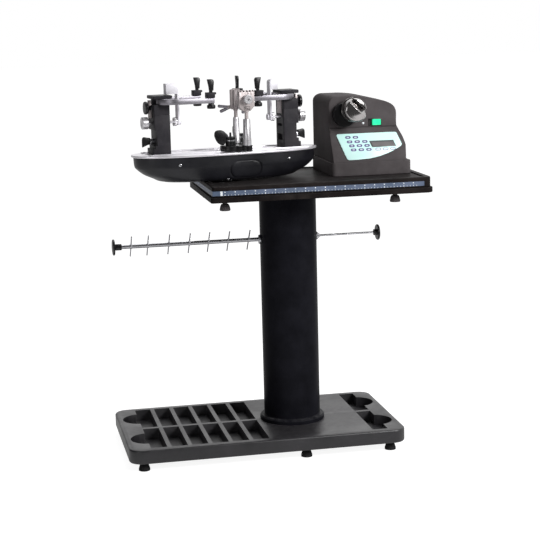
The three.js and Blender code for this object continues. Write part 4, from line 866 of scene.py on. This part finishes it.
def boat_loft(name, levels):
    """A solid through boat outlines, from height, half length and half width of each level."""
    low, length, width = levels[0]
    piece = cut_out(name, boat(length, width), 1.0, at(0, 0, low))
    pick(piece, "faces", lambda face: face.normal.z > 0.9)
    lofted([(low + 1.0, length, width)] + levels[1:])
    bpy.ops.object.mode_set(mode="OBJECT")
    return piece


print("points of a boat outline:", len(boat(2, 1)))

# %% Model the hull
HULL = {"low": 789.6, "rise": 71.7, "half_length": 268, "half_width": 93, "wall": 5}
LEVELS = flowing([(0, 0.70, 0.79), (0.045, 0.755, 0.87), (0.14, 0.806, 0.925), (0.295, 0.896, 0.957),
                  (0.5, 0.966, 0.979), (0.64, 0.992, 0.99), (1, 1, 1)], 4)
LEVELS = [level for level in LEVELS if level[0] == 0 or level[0] > 0.02]


def hull_loft(name, grow=0.0):
    """The outside of the hull, grown outwards all round."""
    return boat_loft(name, [(HULL["low"] + HULL["rise"] * up, HULL["half_length"] * long + grow,
                             HULL["half_width"] * wide + grow) for up, long, wide in LEVELS])


hull = hull_loft("turntable_boat")
pick(hull, "faces", lambda face: face.normal.z > 0.9)
bpy.ops.mesh.delete(type="ONLY_FACE")
bpy.ops.object.mode_set(mode="OBJECT")
wall = hull.modifiers.new("wall", "SOLIDIFY")
wall.thickness, wall.offset, wall.use_even_offset = HULL["wall"] * MM, -1, True
bpy.ops.object.modifier_apply(modifier="wall")
carved(hull, cylinder(44, 780, 800, 96))
print("hull shell:", len(hull.data.polygons), "faces")

# %% Press the oval groove into the hull


def stadium(half_length, half_height, steps=24):
    """An oval with round ends."""
    reach = half_length - half_height
    return arc(reach, 0, half_height, -90, 90, steps) + arc(-reach, 0, half_height, 90, 270, steps)


groove = cut_out("groove", stadium(48.5, 26), 45, at(32, -60, 820.5) @ TOWARDS_FRONT)
carved(groove, cut_out("core", stadium(43.9, 21.4), 60, at(32, -50, 820.5) @ TOWARDS_FRONT))
skin = hull_loft("skin", 1.0)
carved(skin, hull_loft("inside", -2.4))
carved(hull, combined(groove, skin, "INTERSECT"))
rounded(hull, 0.6, 2, 50)
settle(hull, TABLE)
stands_for(smooth(hull, 40), "turntable_hull", "hull_plastic")
print("hull:", len(hull.data.polygons), "faces")

# %% Model the plate, its rails and the pillar
RAIL_LENGTH, RAIL_DISTANCE = 235, 46
plate = cut_out("table_plate", boat(274, 97), 6, at(0, 0, 861.6), 1.4, 3)
carved(plate, block("guide", (-RAIL_LENGTH, -7, 864.6), (RAIL_LENGTH, 7, 880)))
rails = []
for y in (-RAIL_DISTANCE, RAIL_DISTANCE):
    rail = block("rail", (-RAIL_LENGTH, y - 7, 866), (RAIL_LENGTH, y + 7, 870.1), 0.6)
    rails.append(carved(rail, block("slit", (-231, y - 1.6, 869.2), (231, y + 1.6, 874))))
hub = cylinder(42, 801.2, 862, 72)
carved(hub, cylinder(28.9, 790, 852.2, 72))
deck = assembled("turntable_deck", plate, hub, *rails, place=TABLE)
stands_for(deck, "turntable_plate", "brushed_aluminium")
pillar = turned("bearing_pillar", [(39.4, 783.9), (40, 784.5), (40, 800.2), (39.3, 800.9), (28.4, 800.9),
                                   (28, 801.4), (28, 851.2), (27.4, 851.9)], 72, PILLAR)
stands_for(pillar, "turntable_pillar", "stainless_steel")
print("rails:", len(rails))

# %% Model the screws and buttons


def socket_screw(name, radius, height):
    """A round screw head with a six-sided socket, on z = 0."""
    head = turned(name, [(radius, 0), (radius, height * 0.75), (radius * 0.9, height)], 28)
    key = cylinder(radius * 0.5, height * 0.4, height * 2, 6)
    return smooth(carved(head, key))


def on_hull(x, z):
    """A place on the hull's front, turned outwards, from its place along the table and its height."""
    up = (z - HULL["low"]) / HULL["rise"]
    below = max(level for level in LEVELS if level[0] <= up)
    half_length, half_width = HULL["half_length"] * below[1], HULL["half_width"] * below[2]
    y = -half_width * (1 - (abs(x) / half_length) ** BOAT_POWER) ** (1 / BOAT_POWER)
    along = math.copysign((abs(x) / half_length) ** (BOAT_POWER - 1) / half_length, x)
    across = (abs(y) / half_width) ** (BOAT_POWER - 1) / half_width
    return TABLE @ at(x, y, z) @ turn(math.degrees(math.atan2(along, across))) @ TOWARDS_FRONT


screw = socket_screw("screw", 4.2, 1.6)
screw_places = [TABLE @ at(x, y, 869.4) for x in (-225, 225) for y in (-RAIL_DISTANCE, RAIL_DISTANCE)]
set_out(screw, "rail_screw", screw_places, "turntable", "stainless_steel")
dome = turned("dome", [(4.6, 0), (4.6, 0.8), (3.8, 1.9), (2.2, 2.5)], 24)
button_places = [on_hull(x, z) for x, z in ((-157, 841), (166, 841), (-19.5, 794))]
set_out(dome, "hull_button", button_places, "turntable", "stainless_steel")
bpy.data.objects.remove(dome)
print("screws and buttons:", len(screw_places) + len(button_places))

# %% [markdown]
# ## Mounting posts
# Each end of the turntable carries the same post, the right one turned half round. The casting keeps
# the CAD solid's windows and bores: a copy of it is merged, and its edges are rounded as paint rounds
# them. Knobs and clips are turned or cut out round the z axis, and then put in their places.

# %% Model the post castings, arms and supports
POSTS = {"left": TABLE @ at(-190, 0, 867.6), "right": TABLE @ at(190, 0, 867.6) @ turn(180)}
for side in POSTS:
    casting = softened(f"{side}_post_casting", f"{side}_post", 1.1, "dark_paint", 3)
    softened(f"{side}_hook_bar", f"{side}_frame_support", 0.7, "blasted_aluminium")
    for row in ("front", "rear"):
        softened(f"{side}_{row}_side_arm", f"{side}_{row}_arm", 0.9, "satin_aluminium")
    print(side, "post casting:", len(casting.data.polygons), "faces")

# %% Model the posts' plates and nuts
FLUTED = [((11.1 + 1.4 * math.cos(10 * t)) * math.cos(t), (11.1 + 1.4 * math.cos(10 * t)) * math.sin(t))
          for t in [2 * math.pi * step / 100 for step in range(100)]]


def post_plates(side, post):
    """The fluted nut on the support's screw, and the two plates on the post."""
    nut = cut_out(f"{side}_screw_nut", FLUTED, 10.4, post @ at(39, 0, 88) @ TOWARDS_RIGHT, 0.6)
    detail(nut, f"{side}_support", "satin_steel")
    outer_plate = block(f"{side}_outer_plate", (-31, -8, 102), (-24.2, 8, 151), 0.6)
    carved(outer_plate, cylinder(10, 20, 34, 40, at(0, 0, 130) @ TOWARDS_LEFT))
    inner_plate = block(f"{side}_inner_plate", (21.8, -18, 97), (23.4, 18, 136), 0.5)
    for piece in (outer_plate, inner_plate):
        detail(smooth(settle(piece, post)), f"{side}_post", "cast_aluminium")


print("points of a fluted nut:", len(FLUTED))

# %% Model the posts' knobs, screws and levers
WING_ACROSS = (-0.26, 0.4, 0.42, 0.46, 0.5, 0.49, 0.42, 0.28, 0.1, -0.54, -0.3)
WING_UP = (0, 0, 0.25, 0.5, 0.7, 0.82, 0.93, 0.985, 1, 1, 0.3)
ARM_KNOB = [(4, -18), (4, 0.3), (7, 0.5), (7, 5), (9, 7), (16.5, 10.4), (18, 12.2), (18, 17.2), (17, 18.8),
            (12, 19.3)]
SUPPORT_KNOB = [(4, -79), (4, 3.0), (7.4, 3.4), (7.4, 10.2), (9, 10.8), (16, 10.8), (17.5, 12.2),
                (17.5, 15.4), (16.9, 15.8), (16.9, 16.4), (17.5, 16.8), (17.5, 22.4), (16.9, 22.8),
                (16.9, 23.4), (17.5, 23.8), (17.5, 26.6), (16.2, 28), (9, 28), (8.4, 27.2), (5, 27.2)]
LEVER_RING = [(8.5, 0.3), (8.5, 5), (7.4, 5.6), (7.4, 6.4), (8.5, 7), (8.5, 12.4), (7.6, 13.3)]


def wing(name, width, height, thick, place):
    """A fan-shaped thumb wing that widens from its root, upright in x and z."""
    points = [(across * width, up * height) for across, up in zip(WING_ACROSS, WING_UP)]
    return cut_out(name, points, thick, place @ at(0, thick / 2, 0) @ TOWARDS_FRONT, 1.4, 3)


def post_knobs(side, post):
    """The knob that spreads the arms, the support's screw and the post's lever, all on the outer side."""
    knob_place = post @ at(-24, 0, 130) @ TOWARDS_LEFT
    knob = turned(f"{side}_arm_spreader", ARM_KNOB, 64, knob_place)
    stands_for(knob, f"{side}_arm_knob", "black_plastic")
    washer = turned(f"{side}_arm_washer", [(8.6, 0.3), (8.6, 1.6), (8.2, 2)], 32, knob_place)
    detail(washer, f"{side}_arm_knob", "stainless_steel")
    screw_knob = turned(f"{side}_support_screw", SUPPORT_KNOB, 72, post @ at(-24, 0, 88) @ TOWARDS_LEFT)
    stands_for(screw_knob, f"{side}_support_knob", "satin_steel")
    stem = cylinder(5, -10, 1, 32)
    ring = turned("ring", LEVER_RING, 40)
    lever_place = post @ at(-17, 0, 35.5) @ TOWARDS_LEFT
    lever = settle(wing(f"{side}_lever_wing", 28, 24, 7, at(0, 0, 12.3)), lever_place)
    stands_for(lever, f"{side}_post_lever", "black_plastic")
    collar = assembled(f"{side}_lever_collar", ring, stem, place=lever_place)
    detail(collar, f"{side}_post_lever", "stainless_steel")


for side, post in POSTS.items():
    post_plates(side, post)
    post_knobs(side, post)

# %% Model the clips on the side arms
CLIPS = {("left", "front"): (132, -66), ("left", "rear"): (132, 66),
         ("right", "front"): (110, 66), ("right", "rear"): (127, -66)}
CLIP_NUT = [(9, 124), (10.8, 124.6), (11.8, 126.2), (12, 128), (12, 131.4), (11.6, 133.4), (10.2, 135.2),
            (8.4, 135.8), (8, 136.6), (8, 139)]
for (side, row), (x, y) in CLIPS.items():
    place = POSTS[side] @ at(x, y, 0)
    body = block("body", (-14, -12, 154.5), (9, 12, 169.5), 1.2, 3)
    claw = block("claw", (4, -7, 163.5), (14, 7, 169.5), 0.9)
    stem = cylinder(2.3, 138, 156, 20)
    nut = turned(f"{side}_{row}_clip_nut", CLIP_NUT, 48, place)
    clip = assembled(f"{side}_{row}_frame_clip", body, claw, stem, place=place)
    stands_for(clip, f"{side}_{row}_clip", "dark_paint")
    detail(nut, f"{side}_{row}_clip", "black_plastic")
    screw_stem = turned("stem", [(3, 161.5), (3, 170), (5, 170), (5, 174.2), (4.4, 174.8)], 24)
    leaf = wing("leaf", 19, 32, 7, at(0, 0, 173.8))
    quarter_turn = turn(90 if (side, row) == ("right", "rear") else 0)
    knob = assembled(f"{side}_{row}_wing_screw", leaf, screw_stem, place=place @ quarter_turn)
    stands_for(knob, f"{side}_{row}_clip_knob", "black_plastic")

# %% [markdown]
# ## String clamps
# Two clamps stand on the rails. A black swivel base carries a bright steel sleeve, and the sleeve
# carries the toothed head that grips one string. The head is cut from its outline, teeth and all, and
# a finger lever behind it closes the jaws. The base is locked by a hub with a tall thumb paddle.

# %% Model a clamp's swivel base and its lock
SLEEVE_X = 55
SLEEVES = {"front": [(11.9, 18.6), (11.9, 35.2), (11.4, 35.8), (11.1, 36), (9.9, 91.6), (9.2, 92.6)],
           "rear": [(9.9, 18.6), (9.9, 35.2), (9.5, 36), (8.4, 88), (7.4, 92.6)]}
LOCK_HUB = [(13.8, 17.6), (14.5, 18.3), (14.5, 27.8), (13.6, 28.6), (12, 28.6), (12, 33.6), (13, 33.7),
            (14, 34.6), (14, 40.8), (13, 41.6), (3.2, 41.6), (2.8, 52.6), (1.8, 53.6)]
PADDLE = [(-0.17, 0.42), (-0.45, 0), (-0.78, 0.14), (-0.97, 0.5), (-1, 0.74), (-0.92, 0.94), (-0.7, 1),
          (-0.45, 0.94), (-0.17, 0.66)]


def clamp_arm(name, place):
    """The disc, web and boss of a clamp's arm, and the sleeve on its end."""
    disc = turned("disc", [(29.2, 2.8), (30, 3.6), (30, 15.8), (29, 17), (27, 17.3)], 96)
    web = block("web", (10, -12, 2.8), (SLEEVE_X, 12, 16.3), 0.6)
    boss = turned("boss", [(14.4, 2.8), (15, 3.4), (15, 18), (14.2, 18.8)], 64, at(SLEEVE_X, 0, 0))
    carved(disc, cylinder(21.5, 0, 11.2, 48), cylinder(7.6, 0, 30, 40))
    carved(web, cylinder(21.5, 0, 11.2, 48))
    swivel = assembled(f"{name}_clamp_swivel", disc, web, boss, place=place)
    stands_for(swivel, f"{name}_clamp_arm", "black_plastic")
    sleeve = turned(f"{name}_clamp_sleeve", SLEEVES[name], 64, at(SLEEVE_X, 0, 0))
    carved(sleeve, cylinder(5.6, 30, 96, 40))
    detail(smooth(settle(sleeve, place)), f"{name}_clamp_arm", "satin_steel")


def clamp_lock(name, place, lock_turn):
    """The hub with its paddle and ring, and the screws round it."""
    hub = turned("hub", LOCK_HUB, 64)
    carved(hub, cylinder(7.5, 10, 39.1, 40))
    points = flowing([(across * 47, up * 43) for across, up in PADDLE], 4)
    paddle = cut_out("paddle", points, 8, at(0, 4, 18.6) @ TOWARDS_FRONT, 1.6, 3)
    lock = assembled(f"{name}_clamp_paddle", paddle, hub, place=place @ turn(lock_turn))
    stands_for(lock, f"{name}_clamp_lock", "black_plastic")
    ring = turned(f"{name}_clamp_ring", [(12.3, 28.8), (12.9, 29.2), (12.9, 33), (12.3, 33.5)], 64, place)
    detail(ring, f"{name}_clamp_lock", "stainless_steel")
    screws = [turned("screw", [(2.6, 16.8), (2.6, 17.5), (1.8, 17.9)], 20,
                     place @ turn(angle) @ at(23.5, 0, 0)) for angle in (-150, -105, -75, 30, 100)]
    detail(assembled(f"{name}_disc_screws", *screws), f"{name}_clamp_arm", "stainless_steel")


print("sleeves:", list(SLEEVES))

# %% Model a clamp's head, its adjuster and its lever
JAW_LOW, LUG_HEIGHT, SPINDLE_HEIGHT = 114.8, 121.8, 147.8
TOOTH = [(1, 2.6, 57), (1, 2.5, 54.4), (1, 1.5, 52.8), (-1, 1.5, 52.8), (-1, 2.5, 54.4), (-1, 2.6, 57)]
JAW_TOP = [(18 - tooth * 9 + side * wide, high) for tooth in range(5) for side, wide, high in TOOTH]
JAW = [(-10.5, 0), (10.5, 0), (22.5, 13), (22.5, 57)] + JAW_TOP + [(-22.5, 57), (-22.5, 13)]
PRONG = [(4.5, 2), (4.2, 12), (4.7, 27), (4.9, 32), (3.8, 35.2), (1.9, 36)]


def clamp_head(name, place):
    """The rod with its two toothed jaws, and a thin black sheet behind the front jaw that paints the shade
    in the gap between the jaws and in the notches of the teeth.
    """
    low, lug_place = JAW_LOW, at(0, 15.3, LUG_HEIGHT)
    rod = cylinder(5.2, 27, low + 1, 40)
    front_jaw = cut_out("jaw", JAW, 6, at(0, -1, low) @ TOWARDS_FRONT, 0.5)
    back_jaw = cut_out("jaw", JAW, 9, at(0, 10, low) @ TOWARDS_FRONT, 0.5)
    bridge = block("bridge", (-10.5, -7, low), (10.5, 10, low + 14), 0.6)
    collar = turned("collar", [(6.8, low - 3.4), (7.4, low - 2.8), (7.4, low)], 40)
    lugs = [turned("lug", [(4.6, 10.3), (5, 10.7), (5, 13.9), (4.6, 14.3)], 32, lug_place @ outwards)
            for outwards in (TOWARDS_LEFT, TOWARDS_RIGHT)]
    roots = [block("root", (x, 9.5, low + 2), (x + 4, 15.3, low + 12), 0.4, 1) for x in (-14.3, 10.3)]
    pin = cylinder(2, -12, 12, 20, lug_place @ TOWARDS_RIGHT)
    hole_place = at(0, 0, SPINDLE_HEIGHT) @ TOWARDS_FRONT
    carved(front_jaw, cylinder(4.5, -2, 12, 32, hole_place))
    carved(back_jaw, cylinder(4.5, -12, 2, 32, hole_place))
    parts = [front_jaw, back_jaw, bridge, rod, collar, pin, *lugs, *roots]
    stands_for(assembled(f"{name}_clamp_jaws", *parts, place=place), f"{name}_clamp_head", "cast_aluminium")
    # Painted shade: a thin black sheet in the gap between the jaws makes the notches of the teeth look dark.
    gap_shade = block(f"{name}_jaw_gap_shade", (-20.5, -1.2, low + 40), (20.5, -0.2, low + 56.2), 0.2, 1)
    detail(smooth(settle(gap_shade, place)), f"{name}_clamp_head", "black_plastic")


def clamp_adjuster(name, place):
    """The knob that sets the jaws' force, with its spindle and nut."""
    knob = turned("knob", [(11.8, 7.3), (12.5, 8), (12.5, 22.2), (11.6, 23.3), (7.6, 23.3), (7.2, 22.7),
                           (6.2, 22.7), (5.8, 23.3)], 64, TOWARDS_FRONT)
    carved(knob, cylinder(3.4, 18, 30, 6, TOWARDS_FRONT))
    spindle = cylinder(4, -11, 8, 32, TOWARDS_FRONT)
    nut = turned("nut", [(6.4, 0), (7, 0.6), (7, 3.4), (6.4, 4)], 6, at(0, 10.3, 0) @ TOWARDS_BACK)
    adjuster = assembled(f"{name}_clamp_screw", knob, spindle, nut, place=place)
    stands_for(adjuster, f"{name}_clamp_adjuster", "satin_steel")


def clamp_lever(name, place):
    """The barrel and the two prongs that a finger and a thumb press."""
    barrel = turned("barrel", [(4.4, -10), (5, -9.4), (5, 9.4), (4.4, 10)], 40, TOWARDS_RIGHT)
    carved(barrel, cylinder(2.5, -12, 12, 24, TOWARDS_RIGHT))
    prongs = [turned("prong", PRONG, 24, at(x, 0, 0) @ turn(lean, "X") @ TOWARDS_BACK)
              for x, lean in ((-5, 4), (5, -24))]
    lever = assembled(f"{name}_clamp_prongs", barrel, *prongs, place=place)
    stands_for(lever, f"{name}_clamp_lever", "satin_aluminium")


print("points of a jaw's outline:", len(JAW))

# %% Model both string clamps
CLAMPS = {"front": {"x": 2, "y": -46, "arm": -50, "head": 0, "lock": 0},
          "rear": {"x": 57, "y": 46, "arm": -115, "head": 55, "lock": -90}}
for name, clamp in CLAMPS.items():
    foot_place = TABLE @ at(clamp["x"], clamp["y"], 867.6)
    arm_place = foot_place @ turn(clamp["arm"])
    head_place = arm_place @ at(SLEEVE_X, 0, 0) @ turn(clamp["head"] - clamp["arm"])
    softened(f"{name}_clamp_carriage", f"{name}_clamp_base", 0.6, "stainless_steel")
    clamp_arm(name, arm_place)
    clamp_lock(name, foot_place, clamp["lock"])
    clamp_head(name, head_place)
    clamp_adjuster(name, head_place @ at(0, 0, SPINDLE_HEIGHT))
    clamp_lever(name, head_place @ at(0, 15.3, LUG_HEIGHT))

# %% [markdown]
# ## Tension head
# The head stands on a low plinth. Its housing is what is common to two outlines: the front one, with
# a well rounded crown that falls away to the right, and the side one, with a sloped desk below and an
# upright panel above. One outline is extruded backwards, the other sideways, and a boolean keeps what
# they share. The edges are then rounded as a moulding's are.

# %% Model the plinth
plinth = bevelled(block("head_base", (183.4, -73, 783.9), (419.4, 178, 822.6)), upright, 14, 8)
stands_for(smooth(rounded(plinth, 2, 3)), "head_plinth", "charcoal_plastic")
print("plinth:", len(plinth.data.polygons), "faces")

# %% Model the housing
LEFT, WIDE, LOW, TALL, BACK = 189.4, 202, 822.9, 186, 178
CROWN_RADIUS, BACK_RADIUS = 24, 20
FLANK = [(1.07, 0), (1.074, 0.045), (1.094, 0.217), (1.064, 0.352), (1.01, 0.49), (1, 0.6)]
CROWN = [(1, 0.6), (0.9975, 0.749), (0.945, 0.842), (0.813, 0.909), (0.563, 0.975), (0.326, 1), (0.13, 1)]
shares = FLANK[:3] + flowing(FLANK[2:], 4)[1:] + flowing(CROWN, 8)[1:]
front_outline = [(0, 0)] + [(across * WIDE, up * TALL) for across, up in shares]
front_outline += arc(CROWN_RADIUS, TALL - CROWN_RADIUS, CROWN_RADIUS, 90, 180, 12)[1:]
side_outline = [(-70, LOW), (BACK, LOW)] + arc(BACK - BACK_RADIUS, 988.9, BACK_RADIUS, 0, 90, 8)
side_outline += [(-18, 1008.9), (-18, 919.2), (-15.8, 918.2), (-15.8, 916.6), (-20.2, 915.6), (-70, 824.9)]
housing = cut_out("head_shell", front_outline, 248, at(LEFT, BACK, LOW) @ TOWARDS_FRONT)
side_profile = cut_out("profile", side_outline, 320, at(160, 0, 0) @ turn(90) @ TOWARDS_FRONT)
combined(housing, side_profile, "INTERSECT")


def sharp_where(test):
    """A test for sharp edges whose two ends, in millimetres, pass another test."""
    def chosen(edge):
        sharp = len(edge.link_faces) == 2 and edge.calc_face_angle() > math.radians(28)
        return sharp and test(edge.verts[0].co / MM, edge.verts[1].co / MM)
    return chosen


def on_upper_panel(a, b):
    """Tells whether an edge bounds the upright panel above the ledge."""
    return abs(a.y + 18) < 0.3 and abs(b.y + 18) < 0.3 and max(a.z, b.z) > 919.5


def beside_desk(a, b):
    """Tells whether an edge runs down one side of the desk."""
    return a.y < -19 and b.y < -19 and abs(a.z - b.z) > 20 and max(a.z, b.z) < 917


bevelled(housing, sharp_where(on_upper_panel), 4.5, 4)
bevelled(housing, sharp_where(beside_desk), 3.2, 3)
SWITCH_LOW, SWITCH_HIGH = (309.1, 922.1), (343.7, 939.7)
SHAFT = (255.4, 971.6)
switch_recess = block("recess", (SWITCH_LOW[0], -20, SWITCH_LOW[1]), (SWITCH_HIGH[0], -10, SWITCH_HIGH[1]))
shaft_hole = cylinder(8.8, -30, 60, 40, at(SHAFT[0], 0, SHAFT[1]) @ TOWARDS_BACK)
inlet_hole = block("inlet_hole", (242.1, 160, 845.6), (270.7, 190, 868.2))
carved(housing, switch_recess, shaft_hole, inlet_hole)
stands_for(smooth(housing, 32), "head_housing", "charcoal_plastic")
print("housing:", len(housing.data.polygons), "faces")

# %% [markdown]
# ## Control panel
# A pale aqua membrane lies on the sloped desk. Its keys are printed ovals, and a grey display sits in
# a dark frame. The membrane is cut out of its outline and laid on the slope, and each print is a very
# thin layer laid on the membrane, because a print has crisp edges that a painted noise can't give.

# %% Model the membrane
slope = math.degrees(math.atan2(49.5, 91.6))
DESK_LEFT = 207.4
DESK = at(DESK_LEFT, -20.5, 916.5) @ turn(90 - slope, "X")
ACROSS = (0.02, 0.985, 1.01, 1.071, 1.044, 0.94, 0.818, 0.67, 0.51, 0.3, 0.16, 0.125, 0)
DOWN = (0, 0, 0.03, 0.486, 0.552, 0.68, 0.796, 0.9, 0.972, 1, 1, 0.965, 0.05)
outline = [(across * 178, -18 - down * 81.7) for across, down in zip(ACROSS, DOWN)][::-1]
membrane = cut_out("panel_membrane", outline, 2, DESK @ at(0, 0, 0.3), 0.7)
stands_for(membrane, "control_panel", "panel_film")
print("desk slopes by", round(slope, 1), "degrees")

# %% Print the keys and model the display
KEYS = [(283.1, 29.8), (305.5, 30.4)]
KEYS += [(286.5 + 22.5 * column, 43.9 + 0.3 * column) for column in range(3)]
KEYS += [(291.4 + 22.5 * column, 56.4 + 0.3 * column) for column in range(3)]
KEYS += [(294.9 + 22.6 * column, 69.3 + 0.3 * column) for column in range(3)]
KEYS += [(367.8 + 22 * column, 70.1) for column in range(3)]
KEY_ZERO, FILM_TOP = -42.6, 2.3


def on_desk(x, down, up=0.0):
    """A place on the membrane, from x counted from KEY_ZERO and the distance down the slope."""
    return DESK @ at(x + KEY_ZERO - DESK_LEFT, -down, FILM_TOP + up)


def slanted(half_width, half_height, lean=0.32):
    """Corners of a window that leans like the membrane's left edge."""
    return [(sign * half_width - lean * up_down * half_height, up_down * half_height)
            for sign, up_down in ((-1, -1), (1, -1), (1, 1), (-1, 1))]


keys, centres = [], []
for x, down in KEYS:
    below_display = x > 360
    keys.append(cut_out("key", stadium(8.2, 4.1, 10), 0.18, on_desk(x, down)))
    centre = stadium(6.8, 2.9, 8) if below_display else stadium(3.8, 1.4, 6)
    centres.append(cut_out("centre", centre, 0.12, on_desk(x, down, 0.18)))
detail(assembled("panel_keys", *keys), "stand", "navy_print")
detail(assembled("panel_key_marks", *centres), "stand", "key_print")
window_frame = cut_out("display_frame", slanted(36, 10), 0.9, on_desk(383.5, 53.3), 0.5)
detail(window_frame, "stand", "display_frame")
window = cut_out("display_window", slanted(32.6, 6.4), 0.4, on_desk(384.3, 54.4, 0.8), 0.2, 1)
detail(window, "stand", "display_glass")
print("keys:", len(KEYS))

# %% [markdown]
# ## Gripper, switch and inlet
# The string is pulled by a chrome drum that turns round its shaft. A slot across the drum splits off a
# jaw, which grips the string. Both come from one turned body: it is bisected along the slot, and each
# side keeps its part. The green rocker stands in a dark recess, and the mains inlet is at the back.

# %% Model the gripper
MOUNT = [(34.6, 0.3), (34.6, 16.6), (33.4, 18.1), (30, 18.1), (29.4, 17.5), (12, 17.5)]
mount = turned("gripper_mount", MOUNT, 96, at(233.4, -18, 956.1) @ TOWARDS_FRONT)
stands_for(mount, "gripper_boss", "black_plastic")
DRUM = at(SHAFT[0], -50.3, SHAFT[1]) @ TOWARDS_FRONT
BODY = [(33, 0), (33, 33), (32.4, 35.2), (31, 36.8), (28, 38)]
SLOT_ANGLE = math.radians(-40)
ACROSS_SLOT = Vector((-math.sin(SLOT_ANGLE), math.cos(SLOT_ANGLE), 0))
OUTWARDS = Vector((0, 0, 1))
SLOT_OFFSET, SLOT_GAP, RAMP_START, RAMP_DEPTH, JAW_SETBACK = 20, 2, 2, 8, 12


def slice_off(piece, point, normal):
    """Cuts away what lies beyond a plane and closes the cut; lengths in millimetres."""
    opened(piece)
    bpy.ops.mesh.bisect(plane_co=point * MM, plane_no=normal, use_fill=True, clear_outer=True)
    bpy.ops.object.mode_set(mode="OBJECT")
    return piece


def drum_body(name, setback=0):
    """The turned body of the drum."""
    return turned(name, [(radius, height - setback) for radius, height in BODY], 96)


half_drum = slice_off(drum_body("half"), ACROSS_SLOT * SLOT_OFFSET, ACROSS_SLOT)
ramp_normal = ACROSS_SLOT * RAMP_DEPTH + OUTWARDS * (SLOT_OFFSET - RAMP_START)
rounded(slice_off(half_drum, ACROSS_SLOT * RAMP_START + OUTWARDS * 38, ramp_normal), 0.6, 2, 35)
seat = cylinder(33, 0, 4, 96)
flange = turned("flange", [(34.6, -5), (35.5, -4.2), (35.5, -0.8), (34.6, 0)], 96)
shaft = cylinder(8, -70, -4, 40)
stands_for(assembled("gripper_wheel", half_drum, seat, flange, shaft, place=DRUM), "gripper_drum", "chrome")
jaw = drum_body("gripper_jaw_block", JAW_SETBACK)
slice_off(jaw, ACROSS_SLOT * (SLOT_OFFSET + SLOT_GAP), -ACROSS_SLOT)
rounded(slice_off(jaw, OUTWARDS * 4.3, -OUTWARDS), 0.7, 2, 50)
stands_for(smooth(settle(jaw, DRUM)), "gripper_jaw", "chrome")

# %% Model the switch, the inlet and the small things on the head
ROCKER = [(-12, 6), (-12, -0.8), (-6, -1.2), (0, -2.2), (6, -3.2), (12, -4)]
rocker = cut_out("rocker", ROCKER, 17, at(331.4, -18, 922.4), 0.6)
stands_for(rocker, "power_switch", "green_lens")
switch_frame = block("switch_frame", (307.3, -19.4, 920.3), (345.5, -17.2, 941.5), 0.6)
opening = block("opening", (SWITCH_LOW[0], -30, SWITCH_LOW[1]), (SWITCH_HIGH[0], -10, SWITCH_HIGH[1]))
detail(smooth(carved(switch_frame, opening)), "stand", "black_plastic")
inlet = block("mains_inlet", (242.4, 167, 845.9), (270.4, 181, 867.9), 0.8)
carved(inlet, block("socket", (246.4, 169, 850.4), (266.4, 190, 863.4)))
inlet_pins = [block("pin", (x - 0.8, 168, 855), (x + 0.8, 178, 860), 0.3, 1) for x in (250.4, 256.4, 262.4)]
stands_for(smooth(inlet), "power_inlet", "black_plastic")
detail(assembled("inlet_pins", *inlet_pins), "stand", "stainless_steel")
LAMP = [(3.4, 0), (3.4, 0.7), (2.7, 1.6), (1.4, 2.1)]
status_lamp = turned("status_lamp", LAMP, 24, at(291.3, -18.2, 929.3) @ TOWARDS_FRONT)
detail(status_lamp, "stand", "white_print")
back_places = [at(x, 177.9, z) @ TOWARDS_BACK for x in (206, 372) for z in (850, 960)]
set_out(screw, "back_screw", back_places, "stand", "stainless_steel")
bpy.data.objects.remove(screw)
print("back screws:", len(back_places))

# %% [markdown]
# ## Last step
# Nothing is left selected at the end. The dressed machine has to stay inside the
# frame's own box.

# %% Finish
bpy.ops.object.select_all(action="DESELECT")
